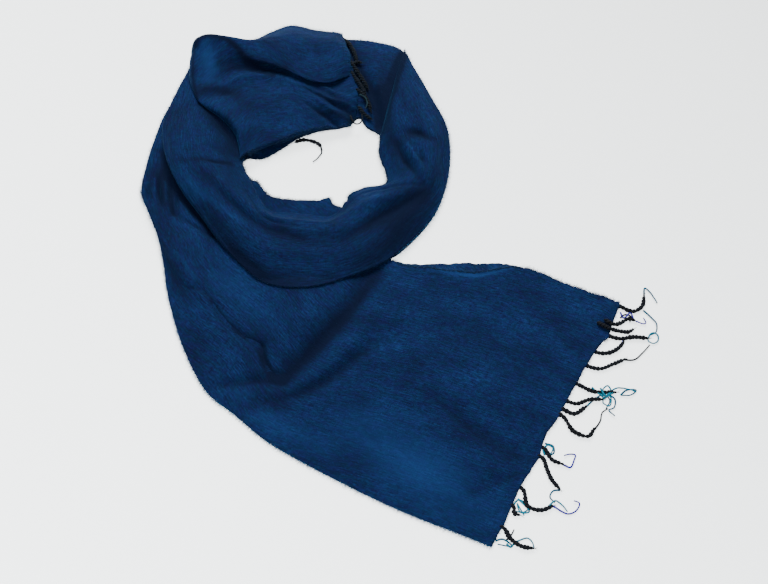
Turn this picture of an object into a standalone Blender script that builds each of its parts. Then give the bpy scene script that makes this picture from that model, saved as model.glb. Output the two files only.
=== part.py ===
"""A fringed woven shawl, folded in half along its length, laid on a table with one end
straight and the rest wound one and three quarter turns into a loose ring.

Each stretch of the band that shows is one solid. A stretch is a row of sections across the
band, from the edge at the ring's hole to the edge outside. The tables below give the sections
in millimetres, and a smooth curve runs through them along the band and across it.
"""

import math

import bmesh
import bpy
import numpy as np
from mathutils import Vector
from mathutils.bvhtree import BVHTree

MM = 0.001
# The middle of the finished outline, which is the part's origin, lies here in the tables.
TABLE_TO_PART = np.array([1.0, -12.5, 0.0])

# Cloth and clearances, mm.
WALL = 3.0            # the doubled cloth: two layers and the nap between them
GAP = 0.45            # left between stretches that touch
SEAM = 0.15           # drawn back from the seam line by each of two stretches
REST_REACH = 16.0     # a stretch clears the highest cloth within this distance
LEAST_WALL = 2.6      # thinnest stretch over another one
FOLD_NOSE = 1.6       # how far a folded edge rounds out past its last section point
GROOVE = 4.0          # depth of the slot between two layers at an edge
TOP_END_HANGS = 7.0   # height of the top stretch's back edge where it hangs past the first pass

# Fringe, mm.
STRIP_WIDTH = 3.0     # the backing that holds the knots' roots
STRIP_LOW = 0.3
STRIP_HIGH = 2.7
ROOT_WIDTH = 4.0      # a knot's root along the backing
STRAND_THICK = 3.4    # side of the four-sided twisted strand
TAIL_THICK = 1.1      # side of the loose thread at its tip
FLOOR_CLEAR = 0.3
TWIST_STEP = math.radians(35.0)

# free_end: from the fringed end, under the ring, to the ring's left side.
# hole x, hole y, outer x, outer y, then heights at the hole edge, quarter, middle, three
# quarters and outer edge.
FREE_END = [
    (272, -44, 106, -348, 3.0, 3.0, 3.0, 3.0, 3.0),
    (222, -23, 61, -335, 3.0, 3.0, 3.0, 3.0, 3.0),
    (170, -3, 8, -313, 3.0, 3.2, 3.2, 3.0, 3.0),
    (120, 8, -47, -285, 3.2, 3.4, 3.4, 3.0, 3.0),
    (62, 11, -101, -252, 3.6, 3.6, 3.6, 3.0, 3.0),
    (4, 14, -148, -223, 4.0, 4.4, 3.8, 3.4, 3.0),
    (-33, 39, -187, -194, 4.5, 5.4, 4.6, 4.0, 3.2),
    (-58, 85, -220, -161, 5.0, 6.4, 5.8, 4.8, 3.4),
    (-97, 102, -245, -117, 5.0, 7.0, 8.0, 6.0, 4.0),
    (-135, 105, -263, -72, 4.5, 7.0, 8.0, 7.0, 4.2),
    (-158, 110, -276, -28, 4.5, 7.0, 8.5, 8.0, 4.6),
    (-171, 124, -284, 12, 4.5, 7.0, 9.0, 9.0, 5.0),
    (-184, 133, -293, 47, 4.0, 7.5, 10.0, 11.0, 6.5),
    (-188, 138, -307, 81, 4.0, 8.5, 11.5, 13.0, 8.0),
    (-192, 142, -320, 114, 4.0, 9.5, 13.0, 14.0, 9.0),
]
# under_turn: the first pass, from the left side over the back to the pleat at the back right.
UNDER_TURN = [
    (-192, 142, -320, 114, 4.0, 9.5, 13.0, 14.0, 9.0),
    (-195, 152, -318, 156, 4.0, 9.5, 13.5, 15.0, 9.0),
    (-199, 162, -311, 199, 4.0, 9.5, 13.5, 15.0, 8.5),
    (-190, 171, -298, 249, 4.0, 9.0, 13.0, 14.0, 8.0),
    (-171, 171, -266, 300, 4.0, 9.0, 12.5, 13.0, 8.0),
    (-151, 183, -222, 337, 4.0, 9.0, 12.0, 13.0, 8.0),
    (-126, 203, -163, 356, 4.0, 9.0, 12.0, 13.0, 8.0),
    (-97, 216, -113, 366, 4.0, 9.0, 12.0, 13.0, 8.5),
    (-64, 222, -67, 367, 5.0, 10.0, 13.0, 14.0, 9.0),
    (-38, 220, -25, 361, 6.0, 12.0, 15.0, 15.5, 10.5),
    (-17, 208, 12, 345, 6.0, 12.0, 15.0, 16.0, 11.0),
    (-4, 194, 26, 322, 6.0, 11.0, 14.0, 15.0, 10.0),
]
# over_turn: the second pass, from that pleat round the right, the front and the left.
OVER_TURN = [
    (-17, 206, 14, 343, 13.0, 19.0, 22.0, 21.5, 16.0),
    (-18, 191, 35, 298, 10.0, 22.0, 26.0, 23.0, 13.0),
    (-18, 177, 53, 258, 9.0, 22.0, 27.0, 23.0, 11.0),
    (-14, 161, 67, 225, 9.0, 21.0, 26.0, 22.0, 10.0),
    (-8, 142, 72, 179, 9.0, 20.0, 25.0, 22.0, 10.0),
    (-10, 126, 67, 132, 10.0, 21.0, 26.0, 22.0, 10.0),
    (-33, 119, 52, 86, 12.0, 24.0, 27.0, 22.0, 10.0),
    (-51, 109, 29, 51, 14.0, 27.0, 28.0, 22.0, 10.0),
    (-62, 90, -12, 11, 16.0, 28.0, 28.0, 22.0, 11.0),
    (-78, 70, -60, -13, 18.0, 30.0, 28.0, 22.0, 13.0),
    (-118, 73, -112, -31, 19.0, 32.0, 30.0, 24.0, 14.0),
    (-153, 75, -161, -19, 20.0, 33.0, 33.0, 26.0, 15.0),
    (-166, 86, -204, 22, 22.0, 34.0, 36.0, 30.0, 18.0),
    (-178, 108, -242, 75, 23.0, 34.0, 38.0, 34.0, 22.0),
    (-187, 129, -270, 115, 22.0, 33.0, 38.0, 35.0, 23.0),
    (-196, 152, -292, 163, 20.0, 31.0, 36.0, 34.0, 23.0),
    (-194, 174, -300, 211, 18.0, 28.0, 33.0, 31.0, 22.0),
    (-197, 205, -293, 246, 17.0, 24.0, 29.0, 28.0, 21.0),
    (-206, 235, -283, 280, 16.0, 21.0, 24.0, 24.0, 20.0),
    (-222, 275, -272, 316, 14.0, 18.0, 20.0, 21.0, 18.0),
]
# top_end: over the back to the shawl's other end. Its outer edge stands up at the left and
# flops inward further on. hole x, hole y, back x, back y, bow, then height at the hole edge,
# half way to the valley, valley place and height, rim place and height, crown place and
# height, height at the back.
TOP_END = [
    (-197, 158, -269, 332, 26, 24, 33, 0.52, 30, 0.84, 37, 0.96, 43, 24),
    (-187, 169, -254, 346, 20, 22, 30, 0.56, 27, 0.82, 36, 0.96, 44, 22),
    (-167, 181, -222, 350, 9, 20, 27, 0.60, 24, 0.82, 37, 0.94, 44, 20),
    (-141, 194, -190, 355, 2, 19, 27, 0.66, 22, 0.76, 39, 0.88, 42, 20),
    (-126, 201, -166, 368, 0, 19, 26, 0.66, 21, 0.60, 37, 0.82, 42, 20),
    (-112, 206, -141, 377, 0, 18, 25, 0.62, 20, 0.50, 34, 0.80, 40, 20),
    (-90, 212, -106, 371, 0, 18, 24, 0.56, 21, 0.42, 31, 0.76, 38, 20),
    (-70, 215, -84, 368, -2, 17, 23, 0.56, 22, 0.43, 30, 0.76, 37, 20),
    (-55, 221, -67, 367, -3, 17, 21, 0.58, 22, 0.48, 27, 0.76, 33, 20),
]

# Folds: name, route points, width at the left and right of the route, and lift at its start,
# middle and end. A negative lift is a trough.
FREE_END_FOLDS = [
    ("edge of the turned corner", [(-317, 101), (-286, 37), (-255, -14), (-229, -44)], 26, 5, (1, 6, 1)),
    ("swell in front of the ring", [(-118, -20), (-113, -80), (-132, -125)], 44, 38, (6, 8, 2)),
    ("swell at the outer curve", [(-250, 30), (-226, -50), (-190, -120)], 20, 22, (3, 5, 3)),
    ("long valley left", [(-229, -42), (-197, -77), (-158, -110), (-149, -139), (-134, -147)], 8, 8, (-2, -7, -5)),
    ("valley right of the swell", [(-131, -147), (-89, -103), (-54, -56), (-24, -7)], 11, 11, (-5, -5, -2)),
    ("low ridge", [(-145, -177), (-76, -131), (-30, -71), (-6, -16)], 13, 12, (2, 4, 3)),
    ("short valley", [(-210, -159), (-152, -153), (-131, -149)], 8, 7, (-1, -2, -4)),
    ("outer valley", [(-168, -181), (-111, -168), (-59, -129), (-24, -89)], 10, 10, (-1, -2, -2)),
    ("middle swell", [(20, -60), (40, -130), (120, -200)], 40, 40, (2, 3, 1)),
    ("end valley", [(40, -167), (85, -212), (119, -236), (152, -249)], 14, 14, (-1, -2, -2)),
    ("corner ridge", [(80, -300), (125, -290)], 12, 12, (1, 2, 2)),
    ("tuck by the fringe", [(205, -70), (235, -85), (252, -92)], 9, 7, (0, 2, 3)),
]
UNDER_TURN_FOLDS = [
    ("corner wrinkle", [(-301, 134), (-292, 100)], 4, 4, (-3, -4, -2)),
    ("corner wrinkle inside", [(-284, 130), (-276, 92)], 4, 4, (-2, -4, -2)),
    ("back ridge", [(-52, 340), (-22, 300), (-20, 250)], 12, 10, (1, 3, 2)),
]
OVER_TURN_FOLDS = [
    ("long ridge", [(-247, 170), (-228, 120), (-191, 83), (-128, 52), (-73, 50)], 11, 9, (1, 4, 2)),
    ("trough beside it", [(-270, 150), (-245, 95), (-205, 55), (-150, 22), (-95, 20)], 10, 12, (-1, -4, -2)),
    ("lip at the hole", [(-165, 84), (-129, 66), (-80, 68)], 5, 5, (1, 3, 1)),
    ("right trough", [(1, 190), (14, 160), (24, 132)], 8, 8, (-2, -5, -2)),
    ("right ridge", [(22, 182), (36, 148), (40, 108)], 8, 8, (1, 4, 2)),
    ("right hollow", [(24, 200), (48, 190)], 9, 9, (-2, -4, -1)),
    ("front trough", [(-60, 38), (-20, 62), (22, 92)], 9, 10, (-1, -4, -2)),
    ("front ridge", [(-67, 62), (-40, 86), (20, 108)], 8, 9, (1, 4, 1)),
    ("outer left ridge", [(-290, 200), (-286, 155), (-258, 108)], 8, 8, (1, 3, 1)),
]
TOP_END_FOLDS = [
    ("gather one", [(-124, 272), (-94, 258), (-66, 243)], 4, 5, (0, 3, 4)),
    ("gather two", [(-104, 250), (-78, 238), (-57, 224)], 4, 5, (0, 3, 3)),
    ("ridge under the rim", [(-256, 268), (-214, 276), (-168, 268)], 9, 8, (1, 4, 1)),
    ("soft dip", [(-190, 240), (-150, 245), (-120, 235)], 20, 18, (-1, -3, -2)),
]

# The hole edge of free_end shows two layers: the lower one reaches out past the upper one.
# Start of the reach and its end as places along the stretch from 0 to 1, and the reach, mm.
UNDER_LAYER = (0.12, 0.42, 6.0)

# The fringed end as offsets along the band from a straight line: place across, offset mm.
END_WAVE = [(0.0, 0.0), (0.08, 4.0), (0.15, 8.0), (0.19, 1.0), (0.30, 0.0), (0.50, -1.0),
            (0.58, -5.0), (0.66, 1.0), (0.80, -3.0), (0.92, 1.0), (1.0, 0.0)]

# Strands of the free end: place of the root along the end in mm, then the route in plan.
# The last two points of a route with a tail are its loose thread.
FREE_STRANDS = [
    (4, True, [(287, -56), (298, -50), (303, -33), (311, -27), (319, -36)]),
    (33, False, [(272, -71), (281, -66), (289, -69)]),
    (41, False, [(270, -83), (279, -84), (286, -80)]),
    (49, False, [(268, -93), (284, -91), (303, -93)]),
    (78, False, [(253, -112), (267, -104), (273, -96)]),
    (100, True, [(241, -133), (257, -127), (273, -120), (290, -115), (303, -101)]),
    (128, True, [(229, -162), (258, -164), (269, -166), (280, -163)]),
    (154, False, [(208, -178), (226, -173), (242, -173)]),
    (166, False, [(205, -191), (222, -181)]),
    (174, True, [(205, -214), (221, -219), (228, -209), (236, -189), (246, -184)]),
    (222, True, [(177, -248), (190, -254), (200, -254), (203, -243), (193, -241)]),
    (234, False, [(171, -261), (175, -272), (184, -284)]),
    (280, True, [(147, -304), (160, -308), (175, -303), (192, -310), (203, -300)]),
    (304, False, [(131, -311), (138, -314)]),
    (332, False, [(125, -340), (136, -349), (151, -352)]),
]
# Strands of the other end, short and dark, laid over the first pass.
TOP_STRANDS = [
    (8, False, [(-42, 341), (-36, 326)]),
    (33, False, [(-38, 314), (-31, 299)]),
    (50, False, [(-37, 299), (-28, 285), (-23, 268)]),
    (70, False, [(-36, 279), (-28, 270)]),
    (88, False, [(-35, 262), (-27, 249)]),
    (108, False, [(-34, 241), (-27, 229)]),
]
# The end of the top stretch, as the plan of the backing's route; it lies on the first pass.
TOP_BACKING = [(-60, 352), (-55, 336), (-53, 322), (-52, 306), (-51, 290), (-50, 274), (-49, 258),
               (-48, 244), (-46, 230)]
# The backing and the strands clear the highest cloth within these distances, mm.
BACKING_REACH = 9.0
STRAND_REACH = 3.5
# One strand that slips out into the hole from between the layers.
TUCKED = [(-130, 196), (-119, 200), (-105, 197), (-94, 190), (-95, 179), (-104, 166)]

CLOTH_COLOUR = (0.012, 0.055, 0.16, 1.0)
FRINGE_COLOUR = (0.008, 0.011, 0.02, 1.0)


def clear_scene():
    """Remove whatever the file holds."""
    for obj in list(bpy.data.objects):
        bpy.data.objects.remove(obj, do_unlink=True)


def lengths(points):
    """Distance run along a row of points, from 0."""
    steps = np.linalg.norm(np.diff(np.asarray(points, float), axis=0), axis=1)
    return np.concatenate([[0.0], np.cumsum(steps)])


def through(knots, values, places):
    """Cubic curve through values at knots; its slope at a knot is that of its neighbours."""
    knots = np.asarray(knots, float)
    values = np.asarray(values, float)
    slope = np.gradient(values, knots, axis=0)
    cell = np.clip(np.searchsorted(knots, places, side="right") - 1, 0, len(knots) - 2)
    width = (knots[cell + 1] - knots[cell])[:, None]
    t = (np.asarray(places) - knots[cell])[:, None] / width
    start = (1 + 2 * t) * (1 - t) ** 2 * values[cell] + t * (1 - t) ** 2 * width * slope[cell]
    end = t * t * (3 - 2 * t) * values[cell + 1] - t * t * (1 - t) * width * slope[cell + 1]
    return start + end


def fold_lift(folds, x, y):
    """Height that the folds add at plan places: a soft bell across each fold's route."""
    lift = np.zeros_like(x)
    for _name, points, left, right, heights in folds:
        route = through(lengths(points), points, np.linspace(0, lengths(points)[-1], 28))
        heading = np.gradient(route, axis=0)
        heading /= np.linalg.norm(heading, axis=1)[:, None]
        dx = x[..., None] - route[:, 0]
        dy = y[..., None] - route[:, 1]
        near = (dx * dx + dy * dy).argmin(axis=-1)[..., None]
        dx = np.take_along_axis(dx, near, -1)[..., 0]
        dy = np.take_along_axis(dy, near, -1)[..., 0]
        near = near[..., 0]
        away = np.hypot(dx, dy)
        side = (heading[near, 0] * dy - heading[near, 1] * dx) / np.maximum(away, 1e-6)
        width = right + (left - right) * (0.5 + 0.5 * side)
        along = near / (len(route) - 1)
        lift += np.interp(along, (0.0, 0.5, 1.0), heights) * np.exp(-((away / width) ** 2))
    return lift


def plain_section(row):
    """Places across and heights of a section whose row ends in five heights."""
    return np.linspace(0.0, 1.0, 5), row[4:9], 0.0


def lipped_section(row):
    """Places across and heights of a section with a valley and a rim that may overhang it."""
    bow, hole, half, valley, valley_z, rim, rim_z, crown, crown_z, back = row[4:]
    foot = min(0.80 * valley, 0.94 * rim)
    across = np.array([0.0, 0.5 * foot, foot, valley, rim, crown, 1.0])
    heights = np.array([hole, half, 0.5 * (half + valley_z), valley_z, rim_z, crown_z, back])
    return across, heights, bow


def lay_sections(table, stations, points, section, folds):
    """Upper surface of a stretch and the plan of its underside, which never turns back on itself.

    Both are arrays of stations by points, in mm."""
    rows = np.asarray(table, float)
    run = lengths((rows[:, 0:2] + rows[:, 2:4]) / 2)
    rows = through(run, rows, np.linspace(0, run[-1], stations))
    surface = np.zeros((stations, points, 3))
    base = np.zeros((stations, points, 2))
    for i, row in enumerate(rows):
        across, heights, bow = section(row)
        knots = np.arange(len(across), dtype=float)
        curve = through(knots, np.column_stack([across, heights]), np.linspace(0, knots[-1], points))
        chord = row[2:4] - row[0:2]
        sideways = np.array([-chord[1], chord[0]]) / np.linalg.norm(chord)
        for plan, t in ((surface[i, :, 0:2], curve[:, 0:1]), (base[i], np.sort(curve[:, 0:1], axis=0))):
            plan[:] = row[0:2] + chord * t + sideways * bow * 4 * t * (1 - t)
        surface[i, :, 2] = curve[:, 1]
    surface[..., 2] += fold_lift(folds, surface[..., 0], surface[..., 1])
    surface[..., 2] = np.maximum(surface[..., 2], WALL)
    return surface, base


def rest_on(trees, x, y, reach=REST_REACH):
    """Highest point of the solids below, within reach of each plan place, in mm."""
    spots = [(0.0, 0.0)]
    for radius, count in ((0.5 * reach, 6), (reach, 10)):
        spots += [(radius * math.cos(a), radius * math.sin(a)) for a in np.arange(count) * 2 * math.pi / count]
    height = np.zeros_like(x)
    for index in np.ndindex(x.shape):
        for dx, dy in spots:
            start = Vector((x[index] + dx, y[index] + dy, 200.0))
            for tree in trees:
                hit = tree.ray_cast(start, Vector((0, 0, -1)))[0]
                if hit is not None:
                    height[index] = max(height[index], hit.z + GAP)
    return height


def edge_points(top, low, outward, reach, layered, under_reach=0.0):
    """Points round one edge, from the upper surface down: a nose, or two lips and a slot."""
    rise = top[2] - low[2]
    if not layered:
        nose = (top + low) / 2
        nose[0:2] += outward * FOLD_NOSE
        return [nose]
    upper = low + np.array([0, 0, 0.80 * rise])
    upper[0:2] += outward * FOLD_NOSE * 0.7
    slot = low + np.array([0, 0, 0.52 * rise])
    slot[0:2] -= outward * reach
    lower = low + np.array([0, 0, 0.26 * rise])
    lower[0:2] += outward * (FOLD_NOSE * 0.7 + under_reach)
    return [upper, slot, lower]


def band_rings(surface, underside, layered, under=None):
    """Closed rings of a stretch: over the top, round the outer edge, back under, round the hole edge."""
    rings = []
    for i, (top, bottom) in enumerate(zip(surface, underside)):
        rim = []
        for end, inner, is_layered in ((-1, -2, layered[1]), (0, 1, layered[0])):
            outward = bottom[end, 0:2] - bottom[inner, 0:2]
            spacing = np.linalg.norm(outward)
            reach = min(GROOVE, 0.6 * spacing)
            extra = under[i] if under is not None and end == 0 else 0.0
            rim.append(edge_points(top[end], bottom[end], outward / spacing, reach, is_layered, extra))
        rings.append(np.vstack([top, rim[0], bottom[::-1], rim[1][::-1]]))
    return np.array(rings)


def cap_faces(first, count, layered):
    """Triangles and quads that close one end ring; first is its first vertex."""
    outer = 3 if layered[1] else 1
    top = [first + i for i in range(count)]
    nose = [first + count + i for i in range(outer)]
    bottom = [first + 2 * count + outer - 1 - i for i in range(count)]
    hole = [first + 2 * count + outer + i for i in range(3 if layered[0] else 1)][::-1]
    faces = []
    span = range(1 if layered[0] else 0, count - (2 if layered[1] else 1))
    for i in span:
        faces.append((top[i], bottom[i], bottom[i + 1], top[i + 1]))
    for edge, a, b in ((hole, 0, 1), (nose, -1, -2)):
        fan = [(top[a], edge[0], bottom[a])]
        if len(edge) == 3:
            slot = edge[1]
            fan = [(top[a], edge[0], slot), (slot, edge[2], bottom[a]), (top[a], slot, top[b]),
                   (slot, bottom[b], top[b]), (slot, bottom[a], bottom[b])]
        faces += fan
    return faces


def material(name, colour, roughness):
    """A plain Principled finish."""
    finish = bpy.data.materials.new(name)
    finish.use_nodes = True
    shader = finish.node_tree.nodes["Principled BSDF"]
    shader.inputs["Base Color"].default_value = colour
    shader.inputs["Roughness"].default_value = roughness
    shader.inputs["Metallic"].default_value = 0.0
    return finish


def add_solid(name, points, faces, colour, roughness):
    """A closed mesh object from points in mm, its faces turned outward."""
    mesh = bpy.data.meshes.new(name)
    mesh.from_pydata(((np.asarray(points) + TABLE_TO_PART) * MM).tolist(), [], faces)
    work = bmesh.new()
    work.from_mesh(mesh)
    bmesh.ops.recalc_face_normals(work, faces=work.faces)
    work.to_mesh(mesh)
    work.free()
    mesh.shade_smooth()
    mesh.materials.append(material(name + "_finish", colour, roughness))
    obj = bpy.data.objects.new(name, mesh)
    bpy.context.scene.collection.objects.link(obj)
    return obj


def tree_of(points, faces):
    """Ray-cast tree of a solid in mm."""
    return BVHTree.FromPolygons([tuple(p) for p in points], faces, all_triangles=False)


def add_stretch(name, rings, count, layered, lipped=False):
    """The solid of a stretch from its rings; gives back its ray-cast tree.

    A section with an overhanging rim is closed by one face that goes round it."""
    stations, size, _ = rings.shape
    index = np.arange(stations * size).reshape(stations, size)
    ahead = np.roll(index, -1, axis=1)
    sides = np.stack([index[:-1], ahead[:-1], ahead[1:], index[1:]], axis=-1).reshape(-1, 4)
    faces = [tuple(int(v) for v in f) for f in sides]
    faces += cap_faces(0, count, layered)
    last = (stations - 1) * size
    faces += [tuple(range(last, last + size))] if lipped else cap_faces(last, count, layered)
    points = rings.reshape(-1, 3)
    add_solid(name, points, faces, CLOTH_COLOUR, 0.85)
    return tree_of(points, faces)


def pull_back(surface, end, amount):
    """Draw the last section at one end back along the band, so a gap is left at the seam."""
    inner = surface[1] if end == 0 else surface[-2]
    last = surface[0] if end == 0 else surface[-1]
    way = inner - last
    last += way / np.linalg.norm(way[:, 0:2], axis=1)[:, None] * amount


def wave_end(surface):
    """Give the fringed end its uneven line; the push fades out along the band."""
    across = np.linspace(0, 1, surface.shape[1])
    push = np.interp(across, [p[0] for p in END_WAVE], [p[1] for p in END_WAVE])
    outward = surface[0] - surface[3]
    outward /= np.linalg.norm(outward[:, 0:2], axis=1)[:, None]
    for i, share in enumerate((1.0, 0.45, 0.15)):
        surface[i, :, 0:2] += (outward * (push * share)[:, None])[:, 0:2]


def build_free_end():
    """The doubled cloth from the fringed end to the ring's left side, a wall of even thickness."""
    stations, points = 46, 21
    surface, _base = lay_sections(FREE_END, stations, points, plain_section, FREE_END_FOLDS)
    wave_end(surface)
    pull_back(surface, -1, SEAM)
    underside = surface - np.array([0.0, 0.0, WALL])
    place = np.linspace(0, 1, stations)
    start, stop, reach = UNDER_LAYER
    under = reach * np.sin(np.pi * np.clip((place - start) / (stop - start), 0, 1))
    layered = (True, False)
    tree = add_stretch("free_end", band_rings(surface, underside, layered, under), points, layered)
    return tree, surface[0].copy()


def build_under_turn():
    """The first pass: one rounded heap with its layers parted at the hole edge."""
    points = 15
    surface, _base = lay_sections(UNDER_TURN, 27, points, plain_section, UNDER_TURN_FOLDS)
    pull_back(surface, 0, SEAM)
    underside = surface * np.array([1.0, 1.0, 0.0])
    layered = (True, True)
    return add_stretch("under_turn", band_rings(surface, underside, layered), points, layered)


def build_over(name, table, stations, points, section, folds, trees, lowest=0.0):
    """A stretch that lies on others: its underside follows them, down to a lowest height."""
    surface, base = lay_sections(table, stations, points, section, folds)
    above = rest_on(trees, surface[..., 0], surface[..., 1])
    surface[..., 2] = np.maximum(surface[..., 2], above + LEAST_WALL)
    low = np.maximum(rest_on(trees, base[..., 0], base[..., 1]), lowest)
    low[:, 0] = np.maximum(low[:, 0], low[:, 1])
    low[:, -1] = np.maximum(low[:, -1], low[:, -2])
    surface[:, (0, -1), 2] = np.maximum(surface[:, (0, -1), 2], low[:, (0, -1)] + LEAST_WALL)
    underside = np.dstack([base, low])
    layered = (True, True)
    lipped = section is lipped_section
    return add_stretch(name, band_rings(surface, underside, layered), points, layered, lipped)


def strand_rings(root, route, tail, ground):
    """Four-sided rings from the root's face along a route that settles on the ground."""
    start = root.mean(axis=0)
    plan = np.vstack([start[0:2], np.asarray(route, float)])
    run = lengths(plan)
    count = max(5, int(round(run[-1] / 5.0)))
    places = np.linspace(0, run[-1], count + 1)
    line = through(run, plan, places)
    heading = np.gradient(line, axis=0)
    heading /= np.linalg.norm(heading, axis=1)[:, None]
    thread_from = run[-3] if tail else run[-1] + 1.0
    side = (root[3] - root[0])[0:2]
    rings = [root]
    for i in range(1, count + 1):
        thick = STRAND_THICK
        if places[i] > thread_from:
            thick = max(TAIL_THICK, STRAND_THICK - (places[i] - thread_from) * 0.35)
        if i == count:
            thick *= 0.5
        half = thick / 2
        level = ground(line[i]) + FLOOR_CLEAR + half * 1.45
        z = max(level, start[2] - 0.55 * places[i])
        across = np.array([-heading[i, 1], heading[i, 0], 0.0])
        if np.dot(across[0:2], side) < 0:
            across = -across
        side = across[0:2]
        up = np.array([0.0, 0.0, 1.0])
        turn = TWIST_STEP * i
        a = across * math.cos(turn) + up * math.sin(turn)
        b = up * math.cos(turn) - across * math.sin(turn)
        centre = np.array([line[i, 0], line[i, 1], z])
        rings.append(np.array([centre - a * half - b * half, centre - a * half + b * half,
                               centre + a * half + b * half, centre + a * half - b * half]))
    return rings


def add_fringe(name, edge, strands, ground):
    """A narrow backing along an edge, each strand grown out of one cell of its outer side.

    edge is the backing's inner lower line as an array of xyz; it runs so that the outside lies
    to its right or left evenly, found from the first strand's route."""
    run = lengths(edge[:, 0:2])
    places = [0.0]
    owner = []
    for number, (root, _tail, _route) in enumerate(strands):
        places += [root - ROOT_WIDTH / 2, root + ROOT_WIDTH / 2]
        owner += [None, number]
    places = np.array(places + [run[-1]])
    owner.append(None)
    line = through(run, edge, places)
    heading = np.gradient(through(run, edge, np.linspace(0, run[-1], 60)), axis=0)
    heading = np.column_stack([np.interp(places, np.linspace(0, run[-1], 60), heading[:, k]) for k in (0, 1)])
    heading /= np.linalg.norm(heading, axis=1)[:, None]
    outward = np.column_stack([-heading[:, 1], heading[:, 0]])
    to_strand = np.asarray(strands[0][2][0]) - line[1, 0:2]
    if np.dot(outward[1], to_strand) < 0:
        outward = -outward
    points = []
    for spot, away in zip(line, outward):
        for reach, rise in ((0, STRIP_LOW), (0, STRIP_HIGH), (STRIP_WIDTH, STRIP_HIGH), (STRIP_WIDTH, STRIP_LOW)):
            points.append([spot[0] + away[0] * reach, spot[1] + away[1] * reach, spot[2] + rise])
    faces = [(0, 1, 2, 3)]
    last = 4 * (len(places) - 1)
    faces.append((last + 3, last + 2, last + 1, last))
    for cell, number in enumerate(owner):
        a, b = 4 * cell, 4 * cell + 4
        faces += [(a, b, b + 1, a + 1), (a + 1, b + 1, b + 2, a + 2), (a + 3, b + 3, b, a)]
        if number is None:
            faces.append((a + 2, b + 2, b + 3, a + 3))
            continue
        loop = [a + 3, a + 2, b + 2, b + 3]
        root = np.array([points[v] for v in loop])
        _place, tail, route = strands[number]
        for ring in strand_rings(root, route, tail, ground)[1:]:
            base = len(points)
            points += ring.tolist()
            fresh = [base, base + 1, base + 2, base + 3]
            faces += [(loop[k], loop[(k + 1) % 4], fresh[(k + 1) % 4], fresh[k]) for k in range(4)]
            loop = fresh
        faces.append(tuple(loop[::-1]))
    add_solid(name, np.array(points), faces, FRINGE_COLOUR, 0.7)


def build_free_fringe(end_section):
    """Backing and strands along the free end."""
    edge = end_section.copy()
    edge[:, 2] = 0.0
    across = edge[-1] - edge[0]
    outward = np.array([-across[1], across[0], 0.0]) / np.linalg.norm(across[0:2])
    if outward[0] < 0:
        outward = -outward
    edge += outward * (GAP + 0.1)
    add_fringe("free_end_fringe", edge, FREE_STRANDS, lambda spot: 0.0)


def build_top_fringe(trees):
    """Backing and short strands at the other end, laid on the first pass."""
    def ground(spot, reach=STRAND_REACH):
        return float(rest_on(trees, np.array([spot[0]]), np.array([spot[1]]), reach)[0]) - GAP
    edge = np.array([(x, y, ground((x, y), BACKING_REACH)) for x, y in TOP_BACKING])
    add_fringe("top_end_fringe", edge, TOP_STRANDS, ground)


def build_tucked_strand():
    """The single strand that shows in the hole."""
    start = np.array(TUCKED[0], float)
    way = np.array(TUCKED[1], float) - start
    way /= np.linalg.norm(way)
    side = np.array([-way[1], way[0], 0.0]) * STRAND_THICK / 2
    low = np.array([start[0], start[1], FLOOR_CLEAR])
    high = low + np.array([0, 0, STRAND_THICK])
    root = np.array([low - side, high - side, high + side, low + side])
    rings = strand_rings(root, TUCKED[1:], True, lambda spot: 0.0)
    faces = [(0, 1, 2, 3)]
    for i in range(len(rings) - 1):
        a = 4 * i
        faces += [(a + k, a + (k + 1) % 4, a + 4 + (k + 1) % 4, a + 4 + k) for k in range(4)]
    last = 4 * (len(rings) - 1)
    faces.append((last + 3, last + 2, last + 1, last))
    add_solid("tucked_strand", np.vstack(rings), faces, FRINGE_COLOUR, 0.7)


def main():
    clear_scene()
    free_tree, end_section = build_free_end()
    under_tree = build_under_turn()
    over_tree = build_over("over_turn", OVER_TURN, 46, 17, plain_section, OVER_TURN_FOLDS,
                           [free_tree, under_tree])
    build_over("top_end", TOP_END, 24, 23, lipped_section, TOP_END_FOLDS, [under_tree, over_tree],
               TOP_END_HANGS)
    build_free_fringe(end_section)
    build_top_fringe([under_tree])
    build_tucked_strand()


main()
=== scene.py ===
"""Looks of a fringed woven shawl, folded in half along its length and wound into a loose ring.

The cloth is four pieces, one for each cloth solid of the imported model. Each is one sheet folded
like a hairpin: the upper layer, the fold along the outer edge, and the lower layer. Tables give
the sections in millimetres, from the edge at the ring's hole to the edge outside.
"""

import math

import bpy
import numpy as np
from bpy.props import FloatProperty, FloatVectorProperty, PointerProperty
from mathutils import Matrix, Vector


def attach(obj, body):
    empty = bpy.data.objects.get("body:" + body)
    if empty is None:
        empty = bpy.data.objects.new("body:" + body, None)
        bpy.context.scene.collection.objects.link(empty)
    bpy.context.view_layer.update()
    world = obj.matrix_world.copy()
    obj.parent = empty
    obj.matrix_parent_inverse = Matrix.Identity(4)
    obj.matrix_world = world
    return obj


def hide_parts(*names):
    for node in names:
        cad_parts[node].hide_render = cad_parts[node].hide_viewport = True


bl_info = {
    "name": "Wound shawl",
    "version": (1, 0, 0),
    "blender": (4, 5, 0),
    "location": "View3D > Sidebar > Shawl",
    "description": "Builds the cloth, fringe and stage of a shawl wound into a ring",
    "category": "Add Mesh",
}

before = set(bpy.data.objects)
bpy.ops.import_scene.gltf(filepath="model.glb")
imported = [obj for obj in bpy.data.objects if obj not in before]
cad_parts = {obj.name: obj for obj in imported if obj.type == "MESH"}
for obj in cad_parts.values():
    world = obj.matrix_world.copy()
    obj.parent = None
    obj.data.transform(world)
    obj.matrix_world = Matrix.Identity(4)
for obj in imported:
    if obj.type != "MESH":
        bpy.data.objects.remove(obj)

MM = 0.001
# The part's origin lies here in the tables, mm.
TABLE_TO_PART = np.array([1.0, -12.5, 0.0])

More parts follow.
